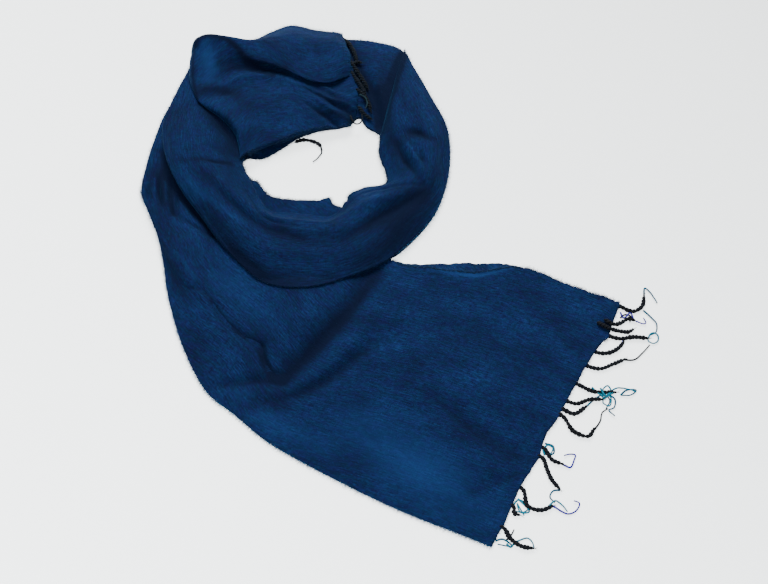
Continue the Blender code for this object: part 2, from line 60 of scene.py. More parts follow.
# The first pass, from the fringed end, under the ring, round its left side and its back.
# hole x, hole y, outer x, outer y, then heights at the hole edge, quarter, middle, three
# quarters and outer edge. The straight end stops at row SEAM_ROW.
FIRST_PASS = [
    (272, -44, 105, -349, 3.0, 3.6, 3.8, 3.4, 3.0),
    (222, -23, 62, -331, 3.0, 4.4, 4.8, 4.0, 3.0),
    (170, -3, 9, -309, 3.0, 4.6, 5.0, 4.2, 3.0),
    (120, 8, -46, -282, 3.2, 4.8, 5.0, 4.0, 3.0),
    (62, 11, -101, -252, 3.6, 6.4, 6.6, 5.0, 3.0),
    (4, 14, -148, -223, 4.0, 7.4, 7.8, 6.0, 3.0),
    (-33, 39, -185, -191, 4.5, 8.4, 8.8, 7.0, 3.2),
    (-58, 85, -220, -161, 5.0, 9.0, 9.6, 8.0, 3.4),
    (-97, 102, -245, -117, 5.0, 9.0, 11.0, 9.0, 4.0),
    (-135, 105, -263, -72, 4.5, 9.0, 11.0, 9.5, 4.2),
    (-158, 110, -276, -28, 4.5, 8.5, 11.0, 10.5, 4.6),
    (-171, 124, -284, 12, 4.5, 8.0, 11.0, 11.5, 5.0),
    (-184, 133, -293, 47, 4.0, 7.5, 10.0, 11.0, 6.5),
    (-188, 138, -307, 81, 4.0, 8.5, 11.5, 13.0, 8.0),
    (-192, 142, -320, 114, 4.0, 9.5, 13.0, 14.0, 9.0),
    (-195, 152, -318, 156, 4.0, 9.5, 13.5, 15.0, 9.0),
    (-199, 162, -311, 199, 4.0, 9.5, 13.5, 15.0, 8.5),
    (-190, 171, -298, 249, 4.0, 9.0, 13.0, 14.0, 8.0),
    (-171, 171, -266, 300, 4.0, 9.0, 12.5, 13.0, 8.0),
    (-151, 183, -222, 337, 4.0, 9.0, 12.0, 13.0, 8.0),
    (-126, 203, -163, 356, 4.0, 9.0, 12.0, 13.0, 8.0),
    (-97, 216, -113, 366, 4.0, 9.0, 12.0, 13.0, 8.5),
    (-64, 222, -67, 367, 5.0, 10.0, 13.0, 14.0, 9.0),
    (-38, 220, -25, 361, 6.0, 12.0, 15.0, 15.5, 10.5),
    (-17, 208, 12, 345, 6.0, 12.0, 15.0, 16.0, 11.0),
    (-4, 194, 20, 321, 6.0, 11.0, 14.0, 15.0, 10.0),
]
SEAM_ROW = 14
# The second pass, from the pleat at the back right round the right, the front and the left.
SECOND_PASS = [
    (-17, 206, 14, 341, 13.0, 19.0, 22.0, 21.5, 16.0),
    (-18, 191, 35, 298, 10.0, 22.0, 26.0, 23.0, 13.0),
    (-18, 177, 53, 258, 9.0, 22.0, 27.0, 23.0, 11.0),
    (-14, 161, 67, 225, 9.0, 21.0, 26.0, 22.0, 10.0),
    (-8, 142, 72, 179, 9.0, 20.0, 25.0, 22.0, 10.0),
    (-10, 126, 67, 132, 10.0, 21.0, 26.0, 22.0, 10.0),
    (-33, 119, 52, 86, 12.0, 24.0, 27.0, 22.0, 10.0),
    (-51, 109, 29, 51, 14.0, 27.0, 28.0, 22.0, 10.0),
    (-62, 90, -12, 11, 16.0, 28.0, 28.0, 22.0, 11.0),
    (-78, 70, -60, -13, 18.0, 30.0, 28.0, 22.0, 13.0),
    (-118, 73, -112, -31, 19.0, 32.0, 30.0, 24.0, 14.0),
    (-153, 75, -161, -19, 20.0, 33.0, 33.0, 26.0, 15.0),
    (-166, 86, -204, 22, 22.0, 34.0, 36.0, 30.0, 18.0),
    (-178, 108, -242, 75, 23.0, 34.0, 38.0, 34.0, 22.0),
    (-187, 129, -270, 115, 22.0, 33.0, 38.0, 35.0, 23.0),
    (-196, 152, -292, 163, 20.0, 31.0, 36.0, 34.0, 23.0),
    (-194, 174, -300, 211, 18.0, 28.0, 33.0, 31.0, 22.0),
    (-197, 205, -293, 246, 17.0, 24.0, 29.0, 28.0, 21.0),
    (-206, 235, -283, 280, 16.0, 21.0, 24.0, 24.0, 20.0),
    (-222, 275, -272, 316, 14.0, 18.0, 20.0, 21.0, 18.0),
]
# The top stretch, over the back to the other end; its outer edge stands up and flops inward.
# hole x, hole y, back x, back y, bow, then height at the hole edge, half way to the valley,
# valley place and height, rim place and height, crown place and height, height at the back.
TOP_STRETCH = [
    (-197, 158, -273, 340, 26, 24, 33, 0.52, 30, 0.84, 37, 0.96, 43, 24),
    (-187, 169, -253, 352, 20, 22, 30, 0.56, 27, 0.82, 36, 0.96, 44, 22),
    (-167, 181, -222, 350, 9, 20, 27, 0.70, 25, 0.85, 41, 0.95, 44, 20),
    (-141, 194, -190, 356, 2, 19, 27, 0.67, 24, 0.69, 37, 0.87, 42, 20),
    (-126, 201, -166, 371, 0, 19, 26, 0.65, 24, 0.55, 35, 0.81, 41, 20),
    (-112, 206, -141, 382, 0, 18, 25, 0.57, 24, 0.44, 32, 0.78, 39, 20),
    (-90, 212, -106, 374, 0, 18, 24, 0.51, 23, 0.385, 30, 0.75, 37, 20),
    (-70, 215, -83, 371, -2, 17, 23, 0.53, 22, 0.41, 30, 0.76, 37, 20),
    (-55, 221, -67, 372, -3, 17, 21, 0.58, 22, 0.48, 27, 0.76, 33, 20),
]

# Share of the width against share of the bow.
BOW = [(0.0, 0.0), (0.08, -0.16), (0.17, -0.26), (0.24, -0.20), (0.30, -0.06), (0.37, 0.16), (0.45, 0.52),
       (0.52, 0.80), (0.58, 0.85), (0.68, 0.82), (0.78, 0.66), (0.87, 0.40), (1.0, 0.0)]

# Folds: name, route, width at the left and right of the route, lift at its start, middle and
# end, and how sharp its line is, from 0 for a soft bell to 1 for a pressed crease.
FIRST_PASS_FOLDS = [
    ("edge of the turned corner", [(-317, 101), (-286, 37), (-255, -14), (-229, -44)],
     26, 5, (1, 7.5, 1.5), 0.0),
    ("swell in front of the ring", [(-118, -20), (-113, -80), (-132, -125)], 42, 36, (8, 11, 3), 0.0),
    ("swell at the outer curve", [(-250, 30), (-226, -50), (-190, -120)], 20, 22, (3, 5, 3), 0.0),
    ("long crease", [(-256, -31), (-236, -33), (-207, -68), (-187, -87), (-160, -107)],
     8, 5, (0, -6, -7), 0.85),
    ("crease turning down", [(-160, -107), (-154, -124), (-146, -140), (-131, -149)],
     6, 6, (-7, -8, -3), 0.8),
    ("valley right of the swell", [(-131, -149), (-89, -103), (-52, -53), (-23, -6)],
     17, 13, (-6, -8, -5), 0.15),
    ("line under the swell", [(-214, -157), (-181, -153), (-152, -150), (-131, -149)],
     7, 6, (-2, -4.5, -5), 0.5),
    ("low ridge", [(-145, -177), (-76, -131), (-30, -71), (-6, -16)], 13, 12, (2, 4, 3), 0.0),
    ("outer valley", [(-170, -182), (-111, -167), (-51, -126), (-27, -103)], 10, 10, (-2, -5, -3), 0.2),
    ("lit ridge", [(-27, -113), (-11, -83), (4, -50), (11, -20)], 12, 12, (1, 3, 1), 0.0),
    ("middle swell", [(20, -60), (40, -130), (120, -200)], 40, 40, (2, 3, 1), 0.0),
    ("broad hollow", [(42, -54), (101, -102), (157, -155)], 26, 22, (-1, -1.5, -0.5), 0.0),
    ("end valley", [(40, -168), (91, -215), (135, -244), (152, -249)], 11, 8, (-1, -3.4, -3), 0.2),
    ("second end valley", [(78, -290), (106, -278), (133, -269)], 8, 7, (-0.5, -2.6, -2.0), 0.2),
    ("end swell", [(60, -210), (110, -262), (150, -285)], 20, 16, (1, 2.2, 1.5), 0.0),
    ("corner crease", [(95, -320), (108, -334), (112, -341)], 4, 5, (0, 1.6, 2), 0.4),
    ("tuck a", [(222, -136), (236, -112), (248, -93)], 5, 5, (0, 2.0, 2.6), 0.4),
    ("tuck b", [(232, -79), (252, -56), (267, -47)], 5, 5, (0, 1.8, 2.2), 0.4),
    ("tuck c", [(186, -180), (200, -159), (212, -138)], 6, 5, (0, 1.4, 1.2), 0.3),
    ("tuck d", [(152, -238), (172, -215), (187, -198)], 6, 6, (0, 1.4, 1.2), 0.3),
    ("small left crease", [(-257, -32), (-245, -30), (-232, -32)], 5, 4, (0, -2, 0), 0.5),
    ("crease by the ring", [(-278, 80), (-255, 66), (-234, 52), (-213, 41)], 4, 5, (-1, -4, -1), 0.6),
    ("gutter by the ring", [(-302, 177), (-289, 133), (-259, 92), (-223, 52)], 7, 7, (-3, -6, -4), 0.3),
    ("corner wrinkle", [(-301, 134), (-298, 107), (-293, 89)], 3.5, 4, (-2, -6, -2), 0.5),
    ("corner wrinkle inside", [(-286, 132), (-282, 99), (-278, 78)], 3.5, 4, (-2, -6, -3), 0.5),
    ("third corner wrinkle", [(-275, 112), (-273, 91), (-272, 76)], 3, 3, (-1, -5, -2), 0.5),
    ("outer corner wrinkle", [(-311, 126), (-314, 111), (-308, 94)], 4, 3, (0, -4, -1), 0.4),
    ("back hollow", [(-56, 345), (-42, 303), (-26, 262), (-18, 223)], 10, 9, (-2, -5, -6), 0.2),
    ("back ridge", [(-30, 344), (-24, 302), (-16, 261), (-12, 225)], 8, 7, (1, 3, 2), 0.1),
    ("left side ridge", [(-300, 152), (-296, 190), (-284, 232)], 9, 9, (0, 2, 1), 0.0),
]
SECOND_PASS_FOLDS = [
    ("long ridge", [(-250, 165), (-228, 122), (-191, 84), (-128, 50), (-66, 47)], 10, 9, (1, 4, 2), 0.1),
    ("trough beside it", [(-240, 122), (-214, 92), (-163, 47), (-110, 29)], 7, 8, (-1, -5, -2), 0.3),
    ("second ridge", [(-238, 95), (-213, 64), (-154, 15), (-83, 11)], 8, 9, (0, 2, 1), 0.1),
    ("flank trough", [(-212, 36), (-188, 11), (-160, -12)], 8, 8, (0, -3, -1), 0.2),
    ("lip line", [(-184, 114), (-167, 83), (-151, 61), (-116, 57), (-82, 56), (-63, 70)],
     3.5, 3.5, (0, 3, 1), 0.4),
    ("line inside the lip", [(-197, 129), (-182, 95), (-160, 60), (-120, 47), (-78, 49)],
     3, 3, (0, -4, 0), 0.5),
    ("front ridge", [(-74, 56), (-55, 73), (-28, 86), (4, 97), (32, 109)], 7, 8, (1, 4, 1), 0.1),
    ("front trough", [(-63, 30), (-28, 59), (7, 82), (42, 110)], 10, 10, (-2, -7, -2), 0.2),
    ("front crease", [(-55, 93), (-36, 105), (-8, 110), (12, 114), (37, 114)], 3.5, 4, (0, -2.6, -1), 0.5),
    ("right trough", [(1, 188), (12, 160), (26, 134), (33, 118)], 7, 6, (-2, -7, -2), 0.35),
    ("right ridge", [(9, 188), (22, 166), (34, 142), (40, 112)], 5, 6, (0, 5, 1), 0.3),
    ("right hollow", [(16, 196), (31, 196), (48, 188)], 7, 7, (-2, -6, -2), 0.2),
    ("outer right hollow", [(24, 172), (36, 154), (42, 134)], 6, 6, (-1, -5, 0), 0.2),
    ("outer right ridge", [(46, 205), (54, 171), (50, 130), (38, 92)], 6, 7, (0, 2, 0), 0.1),
    ("crease to the pleat", [(-252, 149), (-230, 142), (-203, 142)], 4, 3.5, (0, -2.4, 0), 0.5),
    ("short crease", [(-250, 172), (-231, 166), (-211, 156)], 6, 5, (0, -2, 0), 0.3),
    ("outer left ridge", [(-290, 208), (-287, 170), (-270, 128), (-240, 84)], 6, 7, (1, 3, 1), 0.2),
    ("left middle swell", [(-262, 235), (-262, 202), (-255, 160)], 16, 14, (0, 2, 0), 0.0),
    ("dip beside the pleat", [(-250, 243), (-230, 217), (-209, 188), (-198, 165)],
     8, 13, (-6, -9, -3), 0.3),
]
TOP_STRETCH_FOLDS = [
    ("lower pleat", [(-256, 261), (-226, 273), (-203, 285), (-174, 288), (-142, 281), (-118, 268)],
     7, 7, (1, 4, 2), 0.3),
    ("dip under the pleat", [(-248, 249), (-226, 257), (-200, 264)], 8, 8, (-1, -3, 0), 0.2),
    ("shallow dip", [(-208, 271), (-194, 248), (-184, 218)], 9, 12, (-1, -2.4, -1), 0.1),
    ("first gather", [(-126, 275), (-105, 263), (-84, 249), (-60, 238)], 4, 4, (0, 5, 6), 0.4),
    ("second gather", [(-113, 280), (-89, 268), (-71, 253), (-52, 244)], 3.5, 4, (0, 4.5, 6), 0.4),
    ("groove between", [(-120, 270), (-97, 256), (-76, 241), (-55, 230)], 3, 3.5, (-2, -5, -6), 0.5),
    ("third gather", [(-118, 262), (-97, 246), (-78, 230), (-57, 219)], 4, 4, (0, 4.5, 4), 0.4),
    ("groove at the hole", [(-123, 250), (-99, 232), (-74, 214)], 4, 4, (-1, -4.5, -5), 0.4),
    ("back fold", [(-176, 338), (-151, 317), (-134, 293)], 9, 12, (1, 2, 1), 0.1),
    ("back dip", [(-112, 352), (-101, 319), (-95, 288)], 12, 9, (0, -2, 0), 0.1),
]

# Strokes of painted shade and painted light on the cloth's colour: name, route, widths, how much
# painted shade at the start, middle and end, below 0 for painted light, and how sharp the stroke is.
FIRST_PASS_PAINTED_SHADING = [
    ("under the turned corner", [(-281, 27), (-274, 2), (-264, -22), (-247, -50)],
     6, 7, (0.5, 0.7, 0.3), 0.0),
    ("bottom of the long crease", [(-158, -108), (-153, -125), (-145, -141)], 4, 5, (1.2, 1.3, 0.8), 0.3),
    ("beside the far end", [(-65, 360), (-45, 304), (-29, 256)], 7, 9, (0.5, 0.7, 0.8), 0.1),
    ("beside the pleat", [(-14, 318), (-20, 250), (-18, 204)], 12, 6, (0.4, 1.0, 0.8), 0.1),
    ("line at the pleat", [(12, 338), (0, 300), (-10, 250), (-18, 204)], 8, 6, (1.8, 2.0, 1.5), 0.2),
    ("turned corner light", [(-284, 41), (-268, 21), (-252, -3), (-236, -28)],
     4, 4, (-0.2, -0.3, -0.1), 0.0),
    ("inside the turned corner", [(-302, 142), (-292, 113), (-281, 87)], 11, 11, (0.6, 1.1, 0.9), 0.0),
    ("first wrinkle light", [(-305, 133), (-302, 113), (-298, 99)], 2.6, 2.6, (-0.8, -1.0, -0.6), 0.1),
    ("second wrinkle light", [(-291, 128), (-287, 103), (-282, 82)], 2.6, 2.6, (-0.8, -1.0, -0.6), 0.1),
    ("third wrinkle light", [(-276, 113), (-274, 98), (-273, 82)], 2.4, 2.4, (-0.5, -0.7, -0.4), 0.1),
    ("roll of the turned corner", [(-319, 116), (-307, 97), (-283, 78), (-268, 64), (-249, 58)],
     5, 5, (-0.1, -0.2, -0.15), 0.0),
    ("below the turned corner", [(-285, 55), (-262, 24), (-236, -8)], 16, 16, (0.15, 0.22, 0.1), 0.0),
    ("edge of the upper layer", [(42, 4), (81, -4), (103, -6), (123, -1), (146, 6)],
     2.6, 2.6, (-0.3, -0.8, -0.4), 0.1),
    ("lower layer beyond it", [(40, 11), (70, 7), (92, 4), (112, 3), (134, 7)], 4, 3, (0.2, 0.7, 0.4), 0.1),
    ("beside the ring", [(-296, 171), (-278, 132), (-252, 93), (-229, 61), (-214, 44)],
     4, 6, (0.6, 1.0, 0.7), 0.0),
    ("lower light", [(-40, -212), (27, -261), (93, -308)], 34, 30, (-0.25, -0.45, -0.2), 0.0),
    ("light before the ring", [(-206, -10), (-170, -52), (-110, -90)], 24, 24, (-0.2, -0.15, 0.0), 0.0),
    ("outer light", [(-198, -156), (-144, -200), (-74, -237)], 16, 16, (-0.1, -0.25, -0.15), 0.0),
]
SECOND_PASS_PAINTED_SHADING = [
    ("outer flank", [(-236, 72), (-210, 35), (-186, 3), (-153, -20), (-114, -28), (-78, -20)],
     14, 14, (0.5, 0.95, 0.45), 0.0),
    ("front right", [(-36, 2), (-6, 34), (22, 70), (38, 96)], 21, 21, (0.7, 0.95, 0.6), 0.0),
    ("front", [(-150, 40), (-104, 30), (-60, 36)], 13, 13, (0.2, 0.45, 0.3), 0.0),
    ("edge of the pleat", [(-17, 206), (-4, 262), (14, 338)], 7, 7, (1.0, 1.9, 1.8), 0.2),
    ("upper front right", [(-52, 47), (-24, 53), (7, 71), (32, 95)], 9, 9, (0.1, 0.35, 0.3), 0.0),
    ("right inner edge", [(-8, 234), (-4, 186), (7, 142)], 8, 8, (0.4, 0.6, 0.4), 0.0),
    ("right patch", [(10, 184), (27, 192), (46, 187)], 8, 8, (0.4, 0.7, 0.3), 0.0),
    ("left inner", [(-216, 172), (-205, 130), (-186, 95)], 12, 12, (0.5, 0.6, 0.3), 0.0),
    ("beside the short crease", [(-279, 151), (-261, 146), (-239, 143), (-208, 144)],
     4, 4, (0.3, 0.8, 0.6), 0.2),
    ("left ridge light", [(-283, 145), (-258, 112), (-219, 75), (-155, 38)],
     7, 7, (-0.1, -0.35, -0.15), 0.0),
    ("right outer", [(62, 206), (58, 150), (44, 96)], 12, 12, (0.1, 0.2, 0.1), 0.0),
    ("left outer", [(-283, 230), (-284, 180), (-262, 130)], 13, 13, (0.1, 0.18, 0.1), 0.0),
]
TOP_STRETCH_PAINTED_SHADING = [
    ("inside the flopped edge", [(-229, 306), (-201, 302), (-175, 299), (-144, 292)],
     7, 7, (0.5, 0.95, 0.9), 0.1),
    ("standing edge", [(-264, 326), (-258, 339), (-247, 342), (-234, 339), (-220, 333),
                       (-207, 322), (-194, 308), (-177, 296), (-160, 288)],
     3.5, 3.5, (1.2, 1.5, 1.4), 0.2),
    ("left edge of the stretch", [(-267, 318), (-266, 298), (-263, 271), (-257, 246)],
     2.5, 3.5, (0.8, 0.9, 0.9), 0.1),
    ("between the gathers", [(-108, 274), (-85, 258), (-67, 243), (-54, 228)], 7, 7, (0.3, 0.6, 0.7), 0.0),
    ("foot of the pleat", [(-254, 261), (-233, 265), (-213, 260), (-202, 246)], 7, 8, (0.7, 0.8, 0.4), 0.0),
    ("pocket light", [(-250, 329), (-242, 301), (-243, 281)], 10, 12, (-0.35, -0.5, -0.3), 0.0),
    ("under the gathers", [(-99, 231), (-77, 228), (-57, 221)], 5, 5, (0.4, 0.8, 0.8), 0.1),
]

# Length along the fringed end against how far the cloth's edge stands out past a straight
# line, as shares of the end and mm.
END_WAVE = [(0.0, 0.0), (0.08, 4.0), (0.15, 8.0), (0.19, 1.0), (0.30, 0.0), (0.50, -1.0),
            (0.58, -5.0), (0.66, 1.0), (0.80, -3.0), (0.92, 1.0), (1.0, 0.0)]
END_WAVE_FADES = 30.0   # along the band, mm
# Share of the straight end's length against how far its upper layer is drawn in, so that the
# lower one shows.
DRAWN_IN = [(0.20, 0.0), (0.24, 5.0), (0.285, 15.0), (0.31, 18.5), (0.35, 16.0), (0.42, 8.0), (0.49, 2.0),
            (0.55, 0.0)]
# Bumps and notches of the first pass's edge at the hole: place in plan, push outward and width, mm.
EDGE_BUMPS = [(-88, 100, 9, 7), (-177, 132, 5, 8), (-47, 221, -15, 8), (85, 10, 3, 25), (135, 6, 6.5, 28),
              (172, -3, 3.5, 24)]
# Share of the far end's width against how far it reaches past a straight line, mm.
FAR_WAVE = [(0.0, -2.0), (0.07, 9.0), (0.20, 15.0), (0.34, 8.0), (0.50, 5.0), (0.62, 1.0), (0.80, 4.0),
            (1.0, -3.0)]
FAR_WAVE_FADES = 26.0    # along the band, mm
RAGGED_OVER = 340.0      # length that an end's ragged line is drawn over, mm
# The cloth's uneven swell: height in mm, stretch along the band and wavelength of each size of roll.
SWELLS = [(0.42, 0.35, 36.0), (0.13, 0.45, 10.0)]
# The uneven line of a raw edge: share of its amount and wavelength of each size of roll.
EDGE_ROLLS = [(0.5, 21.0), (0.35, 6.0), (0.2, 2.6)]
SEEDS = {"first pass": 5, "lower edge": 31, "upper edge": 41, "free end": 51, "far end": 53,
         "second pass": 61, "top stretch": 83, "fringe": 17}
ROUTE_POINTS = 48        # points along a fold's route
FOLD_WIDTHS = 3.2        # widths of a fold beyond which it adds nothing
SHADE_WIDTH = 0.8        # the painted shade in a trough is narrower than the trough
DARK_DEPTH = 6.0         # depth of a trough at which its painted shade is darkest, mm

# Shapes of the folded sheet, mm.
WALL = 3.0               # the two layers together where they lie flat
END_POINTS = 140         # points across the straight end's upper layer
FOLD_REACH = (0.8, 3.4)  # least and most that the outer fold rounds out at mid height
FOLD_REACH_SHARE = 0.42  # how far it rounds out, as a share of its height
OUTLINE_PAST_ROW = 1.1   # how far the fold's nose stands past the tables' outer edge
LIP_SHARE = 0.55         # part of the heap's height that the rolled upper edge takes
LIP_MOST = 9.0
LIP_REACH_SHARE = 0.45   # how far the rolled edge stands out, as a share of its height
LIP_REACH = 3.0          # and at most
LIP_TURN = math.radians(205.0)
LIP_STARTS = 0.62        # share of the straight end where its edge begins to roll
LIP_GROWS = 0.3          # share over which the roll grows to its full height
LAYERS_PART = 30.0       # over this length the lower layer comes down to the surface
OVERLAP = 5.0            # how far the first two pieces run past each other
SINK = 0.06              # how they sink out of sight there, times the square of the distance
CLOSED = 0.6             # height that the first turn's far end closes to
CLOSES_OVER = 8.0
LOWEST = 0.05            # underside of the cloth above the surface
REST_CLEAR = 0.35        # cloth on cloth
CLOSED_GAP = 0.5         # least gap between the two layers, at the hole
CLOSED_RISE = 1.2        # how much more it is at the outer fold
LEAST_OVER = 2.0         # height of a heap above what carries it
HANGS_AT = 7.0           # the top stretch's back edge, above the surface
GRID_CELL = 2.0          # the height map's cell
GRID_HALF = 400.0        # and half its side

# The nap.
OUTER_SHARE = 0.55       # share of the edge fibres that grow at the outer fold
FACE_LENGTH = 0.33       # length of the fibres on the face, against those at the edges
COVERED_LENGTH = 0.3     # length of edge fibres that stand over cloth
BARE_PAST = 9.0          # how far beyond an edge the surface has to be bare, mm
EDGE_FIBRE = 0.10        # half thickness of a fibre over bare surface, mm
FINE_FIBRE = 0.055       # and of any other
SKEW = np.array([0.31, 0.52, 0.79])   # a direction that hardly any fibre has

# Fringe of the free end: root on the cloth's end, mm along it from the hole side, and the
# strand's route in plan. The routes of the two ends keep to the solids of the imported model.
STRANDS = [
    (4, [(287, -56), (298, -50), (303, -33)]),
    (33, [(272, -71), (281, -66), (289, -69)]),
    (41, [(270, -83), (279, -84), (286, -80)]),
    (49, [(268, -93), (284, -91), (303, -93)]),
    (78, [(253, -112), (267, -104), (273, -96)]),
    (100, [(241, -133), (257, -127), (273, -120)]),
    (128, [(229, -162), (258, -164)]),
    (154, [(208, -178), (226, -173), (242, -173)]),
    (166, [(205, -191), (222, -181)]),
    (174, [(205, -214), (221, -219), (228, -209)]),
    (222, [(177, -248), (190, -254)]),
    (234, [(171, -261), (175, -272), (184, -284)]),
    (280, [(147, -304), (160, -308), (175, -303)]),
    (304, [(131, -311), (138, -314)]),
    (332, [(125, -340), (136, -349), (151, -352)]),
]
# Strands that start on top of the cloth, and how far from its end they do, mm.
STRANDS_ON_TOP = {33: 12.0, 41: 19.0}
FAR_STRANDS = [
    [(-72, 366), (-63, 358), (-54, 340), (-49, 321)],
    [(-66, 343), (-59, 322), (-50, 306), (-41, 290), (-34, 276)],
    [(-64, 322), (-56, 316), (-49, 321), (-43, 318)],
    [(-58, 304), (-50, 291), (-42, 277), (-37, 266)],
    [(-50, 275), (-41, 266), (-33, 251), (-30, 239)],
    [(-47, 248), (-39, 236), (-29, 228)],
]
STRAY_STRAND = [(-130, 196), (-119, 200), (-107, 198), (-97, 192), (-94, 186)]
# Loose thread ends: colour name, height of the thread's middle in mm, and its route in plan.
THREADS = [
    ("teal", 1.4, [(303, -33), (305, -23), (311, -29), (316, -40), (318, -44)]),
    ("teal", 1.2, [(300, -54), (307, -62), (314, -74), (312, -84), (305, -88)]),
    ("cyan", 2.2, [(302, -92), (305, -87), (310, -85), (314, -89), (313, -96), (308, -99), (302, -97),
                   (301, -92)]),
    ("violet", 2.0, [(266, -104), (271, -97), (277, -89)]),
    ("dark", 1.2, [(271, -121), (282, -121), (293, -112), (303, -101)]),
    ("cyan", 1.6, [(238, -166), (243, -171), (250, -163), (260, -158), (271, -159), (280, -163)]),
    ("cyan", 4.2, [(239, -159), (244, -169), (251, -163), (248, -156), (241, -163), (245, -170),
                   (253, -165)]),
    ("teal", 1.2, [(220, -183), (233, -171), (243, -166), (249, -173), (244, -184)]),
    ("dark", 1.0, [(228, -211), (236, -199), (239, -189), (246, -184)]),
    ("violet", 1.6, [(188, -253), (197, -257), (202, -248), (204, -242), (196, -241), (191, -243)]),
    ("cyan", 1.6, [(169, -242), (168, -235), (174, -230), (179, -233), (176, -240), (171, -242)]),
    ("teal", 1.0, [(184, -284), (176, -285), (172, -292), (177, -299)]),
    ("violet", 1.6, [(173, -302), (182, -308), (191, -312), (200, -308), (204, -299), (198, -297)]),
    ("cyan", 2.6, [(170, -303), (178, -297), (185, -302), (190, -310)]),
    ("cyan", 1.6, [(132, -310), (131, -302), (136, -296), (144, -299), (147, -306), (141, -310),
                   (133, -309)]),
    ("cyan", 1.2, [(121, -346), (125, -350), (130, -345), (136, -342), (145, -340), (149, -344),
                   (151, -351)]),
    ("dark", 2.0, [(271, -65), (278, -60), (285, -63), (282, -71)]),
    ("teal", 2.2, [(247, -166), (255, -174), (253, -183), (247, -186), (253, -194)]),
    ("cyan", 3.2, [(229, -158), (239, -167), (250, -170), (247, -182), (241, -178), (244, -167)]),
    ("teal", 1.6, [(262, -167), (269, -161), (281, -161), (274, -167), (263, -167)]),
    ("teal", 1.6, [(170, -228), (179, -231), (180, -239), (172, -242), (169, -235), (175, -228)]),
    ("cyan", 1.8, [(136, -294), (145, -304), (148, -309), (138, -310), (135, -300), (142, -314)]),
    ("teal", 1.6, [(109, -343), (116, -341), (127, -349), (111, -347)]),
    ("dark", 1.6, [(121, -342), (126, -337), (130, -330)]),
    ("violet", 2.4, [(272, -57), (275, -65), (284, -58), (288, -68), (301, -72), (299, -65)]),
]
FAR_THREADS = [
    ("dark", 15.0, [(-57, 230), (-54, 222), (-50, 217), (-46, 217), (-42, 222), (-42, 232)]),
    ("pale", 18.5, [(-45, 262), (-38, 258), (-35, 248), (-37, 240)]),
]
STRAY_THREADS = [("dark", 1.6, [(-95, 189), (-94, 181), (-98, 173), (-105, 166)])]
YARN = {"teal": (0.001, 0.042, 0.075), "cyan": (0.002, 0.095, 0.14), "violet": (0.012, 0.006, 0.15),
        "dark": (0.0018, 0.0021, 0.0034), "pale": (0.003, 0.012, 0.016)}
# The far strands' yarn is darker and a little bluer than the near strands' dark yarn; the darkness is
# painted shade for the shadow beside the top stretch's end.
FAR_YARN_PAINTED_SHADE = (0.0006, 0.0018, 0.0038)
FRAY_YARN = (0.003, 0.012, 0.035)
THREAD_RADIUS = 1.15
STRAND_HEIGHT = 2.8      # middle of a strand above what it lies on
PLY_SIDES = 7
THREAD_SIDES = 5
TUFT_FIBRES = 7          # at the tip of a strand
FRAY_FIBRES = 900        # along the raw end of the cloth

# The cloth's colour: how often a grain repeats along the band and across it, to the metre, the
# detail and roughness of its noise, and the part of its range that is spread from 0 to 1.
WARP = (60.0, 700.0, 3.0, 0.65, 0.36, 0.66)
SPECK = (190.0, 480.0, 3.0, 0.7, 0.36, 0.64)
WEFT = (760.0, 90.0, 2.0, 0.6, 0.42, 0.72)
BROAD = (13.0, 26.0, 3.0, 0.55, 0.32, 0.70)
FLECK = (240.0, 620.0, 2.0, 0.7, 0.60, 0.74)
HUE = (80.0, 150.0, 2.0, 0.6, 0.40, 0.60)

# The camera: what it looks at, how far away and how steeply, m and degrees, and its lens and the
# width of its sensor, mm.
AIM = Vector((-0.012, -0.040, 0.0))
DISTANCE = 1.56
LOOKS_DOWN = 60.0
LENS = 60.0
SENSOR = 36.0
FLOOR_BELOW = 0.0004     # the floor under the cloth, m


def lengths(points):
    """Distance run along a row of points, from 0."""
    steps = np.linalg.norm(np.diff(np.asarray(points, float), axis=0), axis=1)
    return np.concatenate([[0.0], np.cumsum(steps)])


def through(knots, values, places):
    """Cubic curve through values at knots, whose slope at a knot is that of its neighbours."""
    knots = np.asarray(knots, float)
    values = np.asarray(values, float)
    slope = np.gradient(values, knots, axis=0)
    cell = np.clip(np.searchsorted(knots, places, side="right") - 1, 0, len(knots) - 2)
    width = (knots[cell + 1] - knots[cell])[:, None]
    t = (np.asarray(places) - knots[cell])[:, None] / width
    start = (1 + 2 * t) * (1 - t) ** 2 * values[cell] + t * (1 - t) ** 2 * width * slope[cell]
    end = t * t * (3 - 2 * t) * values[cell + 1] - t * t * (1 - t) * width * slope[cell + 1]
    return start + end


def smooth_step(x):
    """0 below 0, 1 above 1, and a cubic between."""
    t = np.clip(x, 0.0, 1.0)
    return t * t * (3 - 2 * t)


def unit(v):
    """Vectors of length 1 along the last axis."""
    return v / np.maximum(np.linalg.norm(v, axis=-1, keepdims=True), 1e-9)


def rolling(a, b, wavelength, seed, waves=12):
    """Uneven swell within about 1 of 0: the mean of sines of random direction and phase, whose
    wavelengths lie round the given one, times the root of their number."""
    rng = np.random.default_rng(seed)
    total = np.zeros(np.broadcast(a, b).shape)
    for angle, stretch, phase in zip(rng.uniform(0, math.tau, waves), rng.uniform(0.6, 1.7, waves),
                                     rng.uniform(0, math.tau, waves)):
        pace = math.tau / (wavelength * stretch)
        total += np.sin((a * math.cos(angle) + b * math.sin(angle)) * pace + phase)
    return total / math.sqrt(waves)


